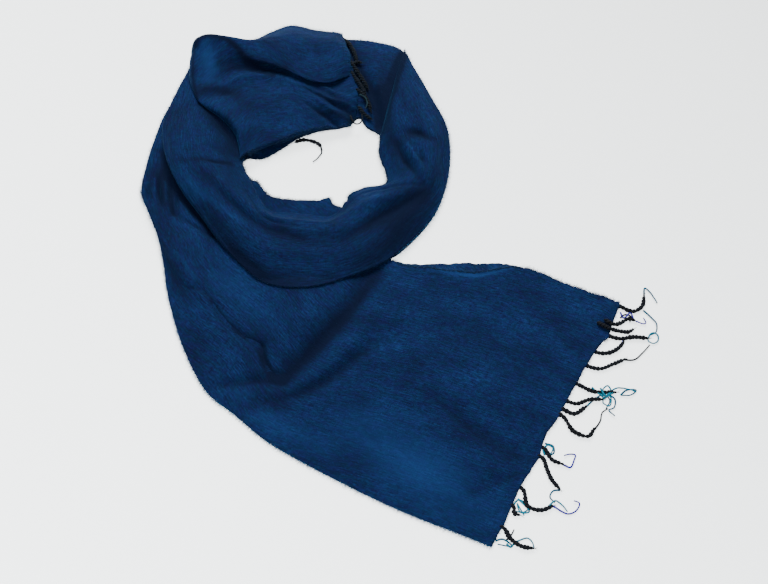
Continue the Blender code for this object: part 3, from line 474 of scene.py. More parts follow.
def fold_relief(folds, x, y):
    """Height that the folds add: for each, its lift times a mix of a bell of the distance to its
    route and, as far as it is a crease, a falling exponential of that distance."""
    total = np.zeros_like(x)
    for _name, points, left, right, lifts, crease in folds:
        run = lengths(points)
        route = through(run, points, np.linspace(0, run[-1], ROUTE_POINTS))
        heading = unit(np.gradient(route, axis=0))
        reach = FOLD_WIDTHS * max(left, right)
        low, high = route.min(axis=0) - reach, route.max(axis=0) + reach
        inside = (x > low[0]) & (x < high[0]) & (y > low[1]) & (y < high[1])
        dx = x[inside][:, None] - route[:, 0]
        dy = y[inside][:, None] - route[:, 1]
        near = (dx * dx + dy * dy).argmin(axis=1)
        rows = np.arange(len(near))
        dx, dy = dx[rows, near], dy[rows, near]
        away = np.hypot(dx, dy)
        side = (heading[near, 0] * dy - heading[near, 1] * dx) / np.maximum(away, 1e-6)
        width = right + (left - right) * (0.5 + 0.5 * side)
        share = away / width
        bell = np.exp(-share ** 2)
        sharp = np.exp(-1.6 * (np.sqrt(share ** 2 + 0.01) - 0.1))
        shape = (1 - crease) * bell + crease * sharp
        total[inside] += np.interp(near / (ROUTE_POINTS - 1), (0.0, 0.5, 1.0), lifts) * shape
    return total


def painted_light_and_shade(folds, strokes, x, y):
    """Painted shade and painted light on the cloth's colour, from -1 for painted light to 1 for
    painted shade: the strokes, and painted shade as deep as a place sits in a trough or crease."""
    sunk = [(name, points, SHADE_WIDTH * left, SHADE_WIDTH * right, lifts, crease)
            for name, points, left, right, lifts, crease in folds if lifts[1] < 0]
    deep = np.clip(-fold_relief(sunk, x, y) / DARK_DEPTH, 0, 1)
    return np.clip(deep + fold_relief(strokes, x, y), -1, 1)


class Ground:
    """Height of the pieces laid so far, on a square grid in plan, mm: each cell is as high as
    the highest point that lies in it."""

    def __init__(self, *names):
        self.height = np.zeros((int(2 * GRID_HALF / GRID_CELL),) * 2)
        for name in names:
            mesh = bpy.data.objects[name].data
            points = np.zeros(len(mesh.vertices) * 3, np.float32)
            mesh.vertices.foreach_get("co", points)
            points = points.reshape(-1, 3) / MM - TABLE_TO_PART
            i, j = ((points[:, 0:2] + GRID_HALF) / GRID_CELL).astype(int).T
            np.maximum.at(self.height, (i, j), points[:, 2])

    def under(self, x, y, reach=3):
        """Highest cell within reach cells, smoothed over its neighbours, at plan places."""
        spread = self.height.copy()
        for _ in range(reach):
            spread = np.maximum.reduce([np.roll(spread, s, a) for a in (0, 1) for s in (-1, 0, 1)])
        for axis in (0, 1):
            spread = (np.roll(spread, 1, axis) + 2 * spread + np.roll(spread, -1, axis)) / 4
        i = (x + GRID_HALF) / GRID_CELL - 0.5
        j = (y + GRID_HALF) / GRID_CELL - 0.5
        i0, j0 = np.floor(i).astype(int), np.floor(j).astype(int)
        u, v = i - i0, j - j0
        return ((1 - u) * (1 - v) * spread[i0, j0] + u * (1 - v) * spread[i0 + 1, j0]
                + (1 - u) * v * spread[i0, j0 + 1] + u * v * spread[i0 + 1, j0 + 1])


def stations(length, count, start_round, end_round):
    """Places along a stretch, evenly spaced, but crowded as a cosine where its ends round over."""
    places = np.linspace(start_round, length - end_round, count)
    turn = np.linspace(0, np.pi / 2, 12)[:-1]
    return np.concatenate([start_round * (1 - np.cos(turn)), places,
                           length - end_round * (1 - np.cos(turn[::-1]))])


def plain_layer(rows, points):
    """Upper layer of a stretch: a straight line in plan from hole to outer edge, and a cubic
    through the row's five heights."""
    t = np.linspace(0.0, 1.0, points)
    heights = through(np.linspace(0, 1, 5), rows[:, 4:9].T, t).T
    plan = rows[:, None, 0:2] + (rows[:, None, 2:4] - rows[:, None, 0:2]) * t[None, :, None]
    return np.dstack([plan, heights]), plan


def flopped_layer(rows, points):
    """Upper layer of the top stretch: a cubic through seven section points, whose rim may lie
    over the valley, on a line that bows sideways as the table BOW says. Gives the plan of the
    lower layer as well, which never turns back."""
    bow, hole, half, valley, valley_z, rim, rim_z, crown, crown_z, back = rows[:, 4:].T
    foot = np.minimum(0.80 * valley, 0.94 * rim)
    zero, one = np.zeros_like(bow), np.ones_like(bow)
    across = np.array([zero, 0.5 * foot, foot, valley, rim, crown, one])
    heights = np.array([hole, half, 0.5 * (half + valley_z), valley_z, rim_z, crown_z, back])
    places = np.linspace(0, 6, points)
    t = through(np.arange(7), across, places).T
    z = through(np.arange(7), heights, places).T
    chord = rows[:, 2:4] - rows[:, 0:2]
    sideways = unit(np.column_stack([-chord[:, 1], chord[:, 0]]))

    def plan(share):
        offset = bow[:, None] * np.interp(share, *np.transpose(BOW))
        straight = rows[:, None, 0:2] + chord[:, None] * share[..., None]
        return straight + sideways[:, None] * offset[..., None]

    return np.dstack([plan(t), z]), plan(np.sort(t, axis=1))


def outward_of(layer, end):
    """Unit vectors in plan that point out of a layer at its hole edge, 0, or outer edge, -1."""
    inner = 3 if end == 0 else -4
    way = layer[:, end] - layer[:, inner]
    way[:, 2] = 0.0
    return unit(way)


def folded_sheet(upper, lower, lip_share, hole_out):
    """One sheet folded like a hairpin, as a grid of sections.

    A section runs from the rolled edge at the hole, an arc that turns down and in, along the
    upper layer, round the outer fold, which is half an ellipse, and back along the lower layer."""
    out = outward_of(upper, -1)
    rise = upper[:, -1, 2] - lower[:, 0, 2]
    reach = np.clip(FOLD_REACH_SHARE * rise, *FOLD_REACH)
    inset = out[:, None] * (reach - OUTLINE_PAST_ROW)[:, None, None]
    upper = upper - inset * np.linspace(0, 1, upper.shape[1])[None, :, None] ** 6
    lower = lower - inset * np.linspace(1, 0, lower.shape[1])[None, :, None] ** 6
    turn = np.linspace(0, np.pi, 9)[1:-1]
    middle = (upper[:, -1] + lower[:, 0]) / 2
    half = (upper[:, -1] - lower[:, 0]) / 2
    nose = (middle[:, None] + half[:, None] * np.cos(turn)[None, :, None]
            + out[:, None] * (reach[:, None] * np.sin(turn))[..., None])
    drop = np.clip(lip_share * (upper[:, 0, 2] - lower[:, -1, 2]), 0.0, LIP_MOST)
    turn = np.linspace(0, LIP_TURN, 8)[1:]
    lip_reach = np.clip(LIP_REACH_SHARE * drop, 0.0, LIP_REACH)
    lip = np.repeat(upper[:, 0:1], len(turn), axis=1)
    lip = lip + hole_out[:, None] * (lip_reach[:, None] * np.sin(turn))[..., None]
    lip[..., 2] -= drop[:, None] / 2 * (1 - np.cos(turn))
    return np.concatenate([lip[:, ::-1], upper, nose, lower], axis=1), len(turn)


def cloth_places(grid, along, middle):
    """Places on the cloth in metres for every grid point: run along the band, and across it
    from the middle column of the upper layer."""
    across = np.linalg.norm(np.diff(grid, axis=1), axis=2)
    across = np.concatenate([np.zeros((len(grid), 1)), np.cumsum(across, axis=1)], axis=1)
    across -= across[:, middle:middle + 1]
    return np.stack([np.repeat(along[:, None], grid.shape[1], axis=1), across], axis=-1) * MM


def outward_normals(grid, middle):
    """Unit normals of a grid of sections that point up at the middle of the upper layer."""
    normal = unit(np.cross(np.gradient(grid, axis=0), np.gradient(grid, axis=1)))
    return normal if normal[:, middle, 2].mean() > 0 else -normal


def add_mesh(name, points, quads, coordinates=None):
    """A mesh object at the origin from points in table mm and quads or triangles."""
    mesh = bpy.data.meshes.new(name)
    mesh.from_pydata(((points.reshape(-1, 3) + TABLE_TO_PART) * MM).astype(float), [], quads)
    if coordinates is not None:
        layer = mesh.uv_layers.new(name="cloth")
        corner = np.zeros(len(mesh.loops), int)
        mesh.loops.foreach_get("vertex_index", corner)
        layer.data.foreach_set("uv", coordinates.reshape(-1, 2)[corner].astype(np.float32).ravel())
    mesh.shade_smooth()
    piece = bpy.data.objects.new(name, mesh)
    bpy.context.scene.collection.objects.link(piece)
    return piece


def grid_quads(rows, columns):
    """Corner numbers of the quads of a grid whose points are numbered row by row."""
    index = np.arange(rows * columns).reshape(rows, columns)
    corners = [index[:-1, :-1], index[1:, :-1], index[1:, 1:], index[:-1, 1:]]
    return np.stack(corners, axis=-1).reshape(-1, 4)


def add_cloth(name, node, grid, middle, along, folds, strokes):
    """A cloth piece from its grid, with the thickness of one layer put inside."""
    quads = grid_quads(*grid.shape[:2])
    row = len(grid) // 2
    here = grid[row, middle]
    if np.cross(grid[row + 1, middle] - here, grid[row, middle + 1] - here)[2] < 0:
        quads = quads[:, ::-1]
    piece = add_mesh(name, grid, quads, cloth_places(grid, along, middle))
    # This attribute holds painted shade in troughs, creases and dark strokes, and painted light where it is
    # below 0.
    shade = painted_light_and_shade(folds, strokes, grid[..., 0], grid[..., 1])
    painted_shading = piece.data.attributes.new("painted_shading", "FLOAT", "POINT")
    painted_shading.data.foreach_set("value", shade.astype(np.float32).ravel())
    wall = piece.modifiers.new("layer", "SOLIDIFY")
    wall.thickness = bpy.context.scene.shawl_cloth.thickness
    wall.offset = -1.0
    wall.use_even_offset = False
    piece.data.materials.append(bpy.data.materials["shawl cloth"])
    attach(piece, "root")
    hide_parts(node)


def rounded_end(run, places, start, stop):
    """Share of the full height at each place: a quarter of an ellipse up from the stretch's
    start over the length start, and down to its end over the length stop."""
    share = np.ones_like(places)
    for away, radius in ((places, start), (run - places, stop)):
        if radius:
            share = share * np.sqrt(1 - (1 - np.clip(away / radius, 0, 1)) ** 2)
    return share


def swell(layer, along, seed):
    """Unevenness of cloth lying loose: long low rolls along the band and small ones on them."""
    across = np.linalg.norm(layer[:, :, 0:2] - layer[:, :1, 0:2], axis=2)
    along = np.broadcast_to(along[:, None], across.shape)
    return sum(height * rolling(along * stretch, across, wavelength, seed + k)
               for k, (height, stretch, wavelength) in enumerate(SWELLS))


def ragged(places, amount, seed):
    """Uneven line of a raw edge, mm: rolls of three sizes."""
    zero = np.zeros_like(places)
    return amount * sum(share * rolling(places, zero, wavelength, seed + k)
                        for k, (share, wavelength) in enumerate(EDGE_ROLLS))


def first_pass_layer(places, count):
    """Upper layer of the first pass at places along it, with its folds and its uneven swell."""
    table = np.asarray(FIRST_PASS, float)
    run = lengths((table[:, 0:2] + table[:, 2:4]) / 2)
    layer, _plan = plain_layer(through(run, table, places), count)
    layer[..., 2] += fold_relief(FIRST_PASS_FOLDS, layer[..., 0], layer[..., 1])
    layer[..., 2] = np.maximum(layer[..., 2] + swell(layer, places, SEEDS["first pass"]), WALL)
    return layer, run


def build_first_pass():
    """The straight end and the first turn, whose sections are one smooth row.

    Along the straight end the lower layer lies a wall under the upper one; in the ring it lies
    on the surface. A place's share of the straight end sets how far the lower layer shows."""
    _layer, run = first_pass_layer(np.zeros(8), 8)
    seam = run[SEAM_ROW]
    for name, node, places, points, backs, nap, rests in (
            ("straight_cloth", "free_end", np.linspace(0, seam + OVERLAP, 264), END_POINTS, 24,
             (15000, 6000), []),
            ("first_turn_cloth", "under_turn", np.linspace(seam - OVERLAP, run[-1], 198), 90, 22,
             (7000, 2200), ["straight_cloth"])):
        upper, _run = first_pass_layer(places, points)
        lower, _run = first_pass_layer(places, backs)
        lower = lower[:, ::-1].copy()
        parted = smooth_step((places - seam) / LAYERS_PART + 0.5)[:, None]
        lower[..., 2] = np.maximum(lower[..., 2] - WALL, 0.0) * (1 - parted) + LOWEST
        closing = rounded_end(run[-1], places, 0.0, CLOSES_OVER)[:, None]
        upper[..., 2] = CLOSED + (upper[..., 2] - CLOSED) * closing
        hole_out = outward_of(upper, 0)
        drawn_in = np.interp(places / seam, *np.transpose(DRAWN_IN))
        below = edge_bumps(lower[:, -1]) + ragged(places, 1.0, SEEDS["lower edge"])
        push_edge(lower, hole_out, below, -1)
        above = edge_bumps(upper[:, 0]) + ragged(places, 0.9, SEEDS["upper edge"]) - drawn_in
        push_edge(upper, hole_out, above, 0)
        if node == "free_end":
            for layer in (upper, lower[:, ::-1]):
                wave_end(layer, places, END_WAVE, END_WAVE_FADES, SEEDS["free end"])
        lip_share = LIP_SHARE * smooth_step((places - LIP_STARTS * seam) / (LIP_GROWS * seam))
        grid, lip = folded_sheet(upper, lower, lip_share, hole_out)
        past = np.clip(places - seam if node == "free_end" else seam - places, 0, None)
        grid = grid - outward_normals(grid, lip + points // 2) * (SINK * past ** 2)[:, None, None]
        grid[..., 2] = np.maximum(grid[..., 2], LOWEST)
        add_cloth(name, node, grid, lip + points // 2, places, FIRST_PASS_FOLDS,
                  FIRST_PASS_PAINTED_SHADING)
        add_nap(name + "_nap", grid, lip, points, *nap, Ground())


def edge_bumps(edge):
    """How far bumps and notches push the first pass's hole edge out: a bell of the distance."""
    total = np.zeros(len(edge))
    for x, y, push, width in EDGE_BUMPS:
        total += push * np.exp(-((edge[:, 0] - x) ** 2 + (edge[:, 1] - y) ** 2) / width ** 2)
    return total


def push_edge(layer, out, amount, end):
    """Move a layer's hole edge out by an amount that dies away from it as an eighth power."""
    share = np.linspace(1, 0, layer.shape[1]) if end == 0 else np.linspace(0, 1, layer.shape[1])
    layer += out[:, None] * (amount[:, None] * share[None] ** 8)[..., None]


def wave_end(layer, away, wave, fades, seed):
    """Push the band's last sections along it by an end's uneven line, which fades inward."""
    last, inner = (0, 6) if away[0] < away[-1] else (-1, -7)
    share = np.linspace(0, 1, layer.shape[1])
    push = np.interp(share, *np.transpose(wave)) + ragged(share * RAGGED_OVER, 1.1, seed)
    out = layer[last] - layer[inner]
    out[:, 2:] = 0.0
    fade = np.clip(1 - away / fades, 0, 1)[:, None] ** 2
    move = unit(out)[None] * (push[None] * fade)[..., None]
    layer += move[..., :layer.shape[2]]


def build_over(name, node, table, section, folds, strokes, count, points, rounds, lowest, rests, nap, seed):
    """A stretch that lies on what was laid before: its lower layer follows that, and its ends
    round down to it."""
    ground = Ground(*rests)
    table = np.asarray(table, float)
    run = lengths((table[:, 0:2] + table[:, 2:4]) / 2)
    places = stations(run[-1], count, *rounds)
    rows = through(run, table, places)
    upper, base = section(rows, points)
    upper[..., 2] += fold_relief(folds, upper[..., 0], upper[..., 1]) + swell(upper, places, seed)
    upper[..., 2] = np.maximum(upper[..., 2], ground.under(upper[..., 0], upper[..., 1]) + LEAST_OVER)
    below = np.maximum(ground.under(upper[..., 0], upper[..., 1]) + REST_CLEAR, lowest)
    share = rounded_end(run[-1], places, *rounds)[:, None]
    floor = below + CLOSED_GAP + np.linspace(0, CLOSED_RISE, points)[None]
    upper[..., 2] = floor + np.maximum(upper[..., 2] - floor, 0) * share
    hole_out = outward_of(upper, 0)
    push_edge(upper, hole_out, ragged(places, 0.8, seed + 7), 0)
    if node == "top_end":
        for layer in (upper, base):
            wave_end(layer, run[-1] - places, FAR_WAVE, FAR_WAVE_FADES, SEEDS["far end"])
    pick = np.linspace(points - 1, 0, 22).round().astype(int)
    lower = np.dstack([base[:, pick], np.zeros((len(places), len(pick)))])
    lower[..., 2] = np.maximum(ground.under(lower[..., 0], lower[..., 1], 2) + REST_CLEAR, lowest)
    grid, lip = folded_sheet(upper, lower, np.full(len(places), LIP_SHARE), hole_out)
    add_cloth(name, node, grid, lip + points // 2, places, folds, strokes)
    add_nap(name + "_nap", grid, lip, points, *nap, ground)


def add_fibres(bundle, roots, ways, width, colours):
    """Thin pyramids: three corners round each root, and a tip at the end of its way."""
    side = unit(np.cross(ways, SKEW))
    other = unit(np.cross(ways, side))
    corners = [roots + (side * math.cos(a) + other * math.sin(a)) * width for a in (0.0, 2.1, 4.2)]
    points = np.stack([*corners, roots + ways], axis=1)
    first = 4 * np.arange(len(roots))[:, None, None]
    faces = first + np.array([(0, 1, 3), (1, 2, 3), (2, 0, 3), (2, 1, 0)])[None]
    bundle.add(points.reshape(-1, 3), faces.reshape(-1, 3), np.repeat(colours, 4, axis=0))


def add_nap(name, grid, lip, points, edge_count, face_count, ground):
    """The brushed nap: fibres that stand out all along the two edges, longer where the surface
    beyond them is bare and there lighter, as painted rim light, and short ones all over the face,
    leaning at random."""
    cloth = bpy.context.scene.shawl_cloth
    rng = np.random.default_rng(len(name) * 7 + points)
    last = lip + points
    outer = rng.random(edge_count) < OUTER_SHARE
    edge = np.where(outer, rng.integers(last + 1, last + 6, edge_count),
                    rng.integers(0, lip + 1, edge_count))
    column = np.concatenate([edge, rng.integers(lip, last, face_count)])
    row = rng.integers(0, len(grid) - 1, len(column))
    blend = rng.random((len(column), 1))
    roots = grid[row, column] * (1 - blend) + grid[row + 1, column] * blend
    ways = outward_normals(grid, lip + points // 2)[row, column]
    beyond = np.where(outer[:, None], outward_of(grid[:, :last], -1)[row[:edge_count]],
                      outward_of(grid[:, lip:last], 0)[row[:edge_count]])
    ways[:edge_count] = 0.3 * ways[:edge_count] + beyond
    # Each fibre leans at random, but never into the cloth.
    lean = unit(ways * 0.75 + rng.normal(0, 0.5, roots.shape))
    lean += ways * np.clip(0.15 - (lean * ways).sum(axis=1, keepdims=True), 0, None)
    long = cloth.nap_length / MM * rng.uniform(0.25, 1.0, (len(column), 1)) ** 1.4
    long[edge_count:] *= FACE_LENGTH
    bare = np.zeros(len(column), bool)
    past = roots[:edge_count, 0:2] + beyond[:, 0:2] * BARE_PAST
    bare[:edge_count] = ground.under(past[:, 0], past[:, 1], 1) < 1.0
    long[:edge_count][~bare[:edge_count]] *= COVERED_LENGTH
    tips = unit(lean) * long
    # Nothing goes under the surface, and no fibre grows where the cloth touches it.
    tips[:, 2] = np.maximum(tips[:, 2], 0.2 - roots[:, 2])
    keep = roots[:, 2] > 0.15
    shade = rng.random((len(column), 1))
    # Edge fibres over bare surface get the lighter rim colour: painted rim light, the glow of the lit nap
    # at the outline.
    lit = bare & np.concatenate([outer, np.zeros(face_count, bool)])
    colours = np.where(lit[:, None], cloth.painted_rim_light_colour, cloth.nap_colour) * (0.45 + 0.9 * shade)
    bundle = Bundle()
    widths = np.where(bare, EDGE_FIBRE, FINE_FIBRE)[:, None]
    add_fibres(bundle, roots[keep], tips[keep], widths[keep], colours[keep])
    bundle.finish(name)


class Bundle:
    """Points, faces and yarn colours of one piece, gathered before its mesh is made."""

    def __init__(self):
        self.points, self.faces, self.colours, self.count = [], [], [], 0

    def add(self, points, faces, colours):
        self.points.append(points)
        self.faces += (np.asarray(faces) + self.count).tolist()
        self.colours.append(np.broadcast_to(colours, (len(points), 3)))
        self.count += len(points)

    def finish(self, name, node=None):
        """Make the piece; its yarn colours go into a colour attribute."""
        piece = add_mesh(name, np.concatenate(self.points), self.faces)
        layer = piece.data.color_attributes.new("yarn", "FLOAT_COLOR", "POINT")
        colours = np.ones((self.count, 4), np.float32)
        colours[:, :3] = np.concatenate(self.colours)
        layer.data.foreach_set("color", colours.ravel())
        piece.data.materials.append(bpy.data.materials["shawl yarn"])
        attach(piece, "root")
        if node:
            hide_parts(node)


def add_tube(bundle, line, radii, sides, colour):
    """A tube along a line of points: each ring is a circle square to the line, pressed flat
    where it would pass under the surface, and a flat face closes both ends."""
    way = unit(np.gradient(line, axis=0))
    side = unit(np.cross(way, np.array([0.0, 0.0, 1.0])))
    up = np.cross(side, way)
    turn = np.linspace(0, math.tau, sides, endpoint=False)
    rings = (line[:, None] + (side[:, None] * np.cos(turn)[None, :, None]
                              + up[:, None] * np.sin(turn)[None, :, None]) * radii[:, None, None])
    rings[..., 2] = np.maximum(rings[..., 2], 0.1)
    index = np.arange(len(line) * sides).reshape(len(line), sides)
    after = np.roll(index, -1, axis=1)
    quads = np.stack([index[:-1], index[1:], after[1:], after[:-1]], axis=-1).reshape(-1, 4)
    bundle.add(rings.reshape(-1, 3), quads, colour)
    base = bundle.count - len(line) * sides
    bundle.faces.append((base + index[0]).tolist())
    bundle.faces.append((base + index[-1][::-1]).tolist())


def spaced(route):
    """Points a millimetre apart on the smooth curve through a route."""
    route = np.asarray(route, float)
    run = lengths(route)
    return through(run, route, np.linspace(0, run[-1], max(4, int(run[-1]) + 1)))


def add_strand(bundle, route, rng, colour=YARN["dark"]):
    """A twisted strand: two plies that wind round the route as a double helix, and a tuft of
    fibres at its tip."""
    fringe = bpy.context.scene.shawl_fringe
    line = spaced(route)
    run = lengths(line)
    way = unit(np.gradient(line, axis=0))
    side = unit(np.cross(way, np.array([0.0, 0.0, 1.0])))
    up = np.cross(side, way)
    pitch = fringe.pitch / MM * rng.uniform(0.85, 1.15)
    radius = fringe.strand / MM / 4
    swing = 1 + 0.12 * rolling(run, run * 0, 9.0, int(rng.integers(1 << 30)))
    # Thinner at the root and over the last millimetres.
    narrow = np.clip((run[-1] - run) / 7.0, 0.35, 1.0) ** 0.5 * np.clip(0.62 + run / 10.0, 0.0, 1.0)
    for start in (0.0, math.pi):
        angle = (run / pitch * math.tau + start)[:, None]
        away = (radius * 0.94 * narrow * swing)[:, None]
        thick = radius * 1.12 * narrow * swing
        thick[[0, -1]] *= 0.35
        ply = line + (side * np.cos(angle) + up * np.sin(angle)) * away
        add_tube(bundle, ply, thick, PLY_SIDES, np.array(colour) * rng.uniform(0.7, 1.5))
    # The tuft at the tip.
    spread = rng.normal(0, 0.45, (TUFT_FIBRES, 3)) * [1, 1, 0.35]
    ways = unit(way[-1] + spread) * rng.uniform(2.5, 6.5, (TUFT_FIBRES, 1))
    ways[:, 2] = np.maximum(ways[:, 2], 0.4 - line[-1, 2])
    roots = np.repeat(line[-1:], TUFT_FIBRES, axis=0)
    add_fibres(bundle, roots, ways, 0.22, np.tile(np.array(colour) * 1.3, (TUFT_FIBRES, 1)))
    # Short fuzz all along, which leans every way.
    fuzz = 3 * len(line)
    row = rng.integers(0, len(line), fuzz)
    out = unit(side[row] * rng.normal(0, 1, (fuzz, 1)) + up[row] * rng.normal(0, 1, (fuzz, 1)))
    roots = line[row] + out * radius * 1.7
    roots[:, 2] = np.maximum(roots[:, 2], 0.2)
    ways = unit(out * 0.7 + way[row] * rng.normal(0, 0.8, (fuzz, 1))) * rng.uniform(0.7, 1.8, (fuzz, 1))
    keep = roots[:, 2] + ways[:, 2] > 0.3
    add_fibres(bundle, roots[keep], ways[keep], 0.06, np.tile(np.array(colour) * 2.2, (int(keep.sum()), 1)))


def add_threads(bundle, threads, rng):
    """Loose thread ends: thin tubes on their routes, each lifting and dipping a little."""
    for name, height, route in threads:
        line = spaced(route)
        z = height + 0.7 * rolling(lengths(line), np.zeros(len(line)), 14.0, int(rng.integers(1 << 30)))
        line = np.column_stack([line, np.maximum(z, THREAD_RADIUS + 0.25)])
        add_tube(bundle, line, THREAD_RADIUS * np.linspace(1.1, 0.7, len(line)), THREAD_SIDES, YARN[name])


def fray_end(bundle, end_line, run, out, rng):
    """Short fibres of four tints that stand out all along the cloth's raw end."""
    fray = FRAY_FIBRES
    place = np.sort(rng.uniform(0, run[-1], fray))
    roots = np.column_stack([np.interp(place, run, end_line[:, k]) for k in range(3)])
    roots[:, 2] = rng.uniform(0.4, 2.7, fray)
    roots[:, 0:2] -= out * 0.8
    ways = np.column_stack([np.tile(out, (fray, 1)), np.zeros(fray)])
    ways = ways + rng.normal(0, 0.45, (fray, 3)) * [1, 1, 0.25]
    ways = unit(ways) * (1.6 + 4.2 * rng.random((fray, 1)) ** 2)
    ways[:, 2] = np.maximum(ways[:, 2], 0.3 - roots[:, 2])
    tints = np.array([YARN["dark"], YARN["dark"], FRAY_YARN, YARN["teal"]])
    add_fibres(bundle, roots, ways, 0.20, tints[rng.integers(0, 4, fray)])


def build_fringe():
    """The three rows of strands, each standing for its solid."""
    rng = np.random.default_rng(SEEDS["fringe"])
    bundle = Bundle()
    places = np.linspace(0, END_WAVE_FADES, 12)
    layer, _run = first_pass_layer(places, END_POINTS)
    wave_end(layer, places, END_WAVE, END_WAVE_FADES, SEEDS["free end"])
    end_line = layer[0]
    run = lengths(end_line[:, 0:2])
    across = end_line[-1] - end_line[0]
    out = unit(np.array([-across[1], across[0]]))
    for place, route in STRANDS:
        root = np.array([np.interp(place, run, end_line[:, 0]), np.interp(place, run, end_line[:, 1])])
        inside = STRANDS_ON_TOP.get(place, 3.0)
        plan = np.vstack([root - out * inside, root + out * 2.0, route])
        lift = 4.2 if place in STRANDS_ON_TOP else 0.0
        z = np.interp(lengths(plan), (0.0, inside + 2.0, inside + 12.0, inside + 26.0),
                      (1.6 + lift, 1.8 + lift, 2.1, STRAND_HEIGHT))
        add_strand(bundle, np.column_stack([plan, z]), rng)
    add_threads(bundle, THREADS, rng)
    fray_end(bundle, end_line, run, out, rng)
    bundle.finish("end_strands", "free_end_fringe")

    ground = Ground("first_turn_cloth")
    far = Bundle()
    for route in FAR_STRANDS:
        plan = np.asarray(route, float)
        z = ground.under(plan[:, 0], plan[:, 1], 2) + STRAND_HEIGHT
        # Far strands in the darker yarn: painted shade.
        add_strand(far, np.column_stack([plan, z]), rng, FAR_YARN_PAINTED_SHADE)
    add_threads(far, FAR_THREADS, rng)
    far.finish("far_end_strands", "top_end_fringe")

    stray = Bundle()
    plan = np.asarray(STRAY_STRAND, float)
    add_strand(stray, np.column_stack([plan, np.full(len(plan), STRAND_HEIGHT)]), rng)
    add_threads(stray, STRAY_THREADS, rng)
    stray.finish("stray_strand", "tucked_strand")


class Level:
    """A number that varies over a surface; arithmetic on it adds Math nodes to its material."""

    def __init__(self, finish, socket):
        self.finish, self.socket = finish, socket

    def math(self, operation, *values):
        made = self.finish.node("ShaderNodeMath", {"operation": operation}, dict(enumerate(values)))
        return Level(self.finish, made.outputs[0])

    def __add__(self, other):
        return self.math("ADD", self, other)

    def __mul__(self, other):
        return self.math("MULTIPLY", self, other)

    def sine(self):
        return self.math("SINE", self)

    def between(self, low, high):
        """0 at low and below, 1 at high and above."""
        ranged = self.finish.node("ShaderNodeMapRange", {"clamp": True}, {0: self, 1: low, 2: high})
        return Level(self.finish, ranged.outputs[0])


class Finish:
    """A material being made. Values that are the same all over go straight to its shader."""

    def __init__(self, name, **constants):
        self.material = bpy.data.materials.new(name)
        self.material.use_nodes = True
        self.tree = self.material.node_tree
        self.shader = self.tree.nodes["Principled BSDF"]
        for socket, value in constants.items():
            self.shader.inputs[socket.replace("_", " ")].default_value = value

    def node(self, kind, settings=None, inputs=None):
        """Any node: its settings are set first, then each input gets a value or a link."""
        made = self.tree.nodes.new(kind)
        for key, value in (settings or {}).items():
            setattr(made, key, value)
        for key, value in (inputs or {}).items():
            self.feed(made.inputs[key], value)
        return made

    def feed(self, socket, value):
        if isinstance(value, Level):
            value = value.socket
        if isinstance(value, bpy.types.NodeSocket):
            self.tree.links.new(value, socket)
        else:
            socket.default_value = value

    def mix(self, factor, one, two):
        """Colour that goes from one to two with a factor from 0 to 1."""
        made = self.node("ShaderNodeMix", {"data_type": "RGBA"}, {0: factor, 6: one, 7: two})
        return made.outputs[2]

    def scaled(self, vector, *factors):
        made = self.node("ShaderNodeVectorMath", {"operation": "MULTIPLY"}, {0: vector, 1: factors})
        return made.outputs[0]

    def noise(self, vector, detail=2.0, roughness=0.5):
        inputs = {"Vector": vector, "Scale": 1.0, "Detail": detail, "Roughness": roughness}
        made = self.node("ShaderNodeTexNoise", inputs=inputs)
        return Level(self, made.outputs[0])

    def grain(self, place, along, across, detail, roughness, low, high):
        """Noise that repeats so often along and across, ranged from low to high."""
        return self.noise(self.scaled(place, along, across, 1.0), detail, roughness).between(low, high)

    def bump(self, height, strength, distance):
        inputs = {"Strength": strength, "Distance": distance, "Height": height}
        made = self.node("ShaderNodeBump", inputs=inputs)
        self.feed(self.shader.inputs["Normal"], made.outputs[0])


def solid_colour(values):
    """A colour with its alpha."""
    return (*values, 1.0)


def make_cloth_finish():
    """Brushed woven wool: long streaks of yarn along the band, shorter ones across it, a broad
    mottle, patches of two hues, bright fibres here and there, and a plain weave under the nap."""
    cloth = bpy.context.scene.shawl_cloth
    finish = Finish("shawl cloth", Roughness=0.85, Specular_IOR_Level=0.02, Sheen_Weight=cloth.sheen,
                    Sheen_Roughness=0.42, Sheen_Tint=solid_colour(cloth.sheen_tint))
    place = finish.node("ShaderNodeUVMap", {"uv_map": "cloth"}).outputs[0]
    warp, speck, weft, broad, fleck, hue = [
        finish.grain(place, *row) for row in (WARP, SPECK, WEFT, BROAD, FLECK, HUE)]
    dark = solid_colour(cloth.dark_yarn_and_painted_shade)
    main = finish.mix(hue, solid_colour(cloth.main_yarn), solid_colour(cloth.violet_yarn))
    light = solid_colour(cloth.light_yarn_and_painted_light)
    colour = finish.mix(warp * 0.45 + speck * 0.35 + broad * 0.20, dark, main)
    colour = finish.mix(weft * broad * 0.28, colour, light)
    colour = finish.mix(speck * warp * broad * 0.7, colour, light)
    colour = finish.mix(fleck * 0.55, colour, light)
    # Painted shade and painted light: the attribute darkens the colour towards the dark yarn in troughs,
    # creases and dark strokes, and lightens it towards the light yarn where it is below 0.
    painted_shading = finish.node("ShaderNodeAttribute", {"attribute_name": "painted_shading", "attribute_type": "GEOMETRY"})
    painted_shading = Level(finish, painted_shading.outputs["Fac"])
    colour = finish.mix(painted_shading * cloth.painted_shading_strength, colour, dark)
    colour = finish.mix(painted_shading * -cloth.painted_shading_strength, colour, light)
    finish.feed(finish.shader.inputs["Base Color"], colour)
    across = finish.node("ShaderNodeSeparateXYZ", inputs={0: place})
    pace = math.pi / cloth.thread_pitch
    threads = [(Level(finish, across.outputs[axis]) * pace).sine() for axis in (0, 1)]
    weave = threads[0] * threads[1]
    finish.bump(warp * 0.45 + weft * 0.15 + speck * 0.35 + weave * 0.25 + fleck * 0.5, 0.6, 0.0006)


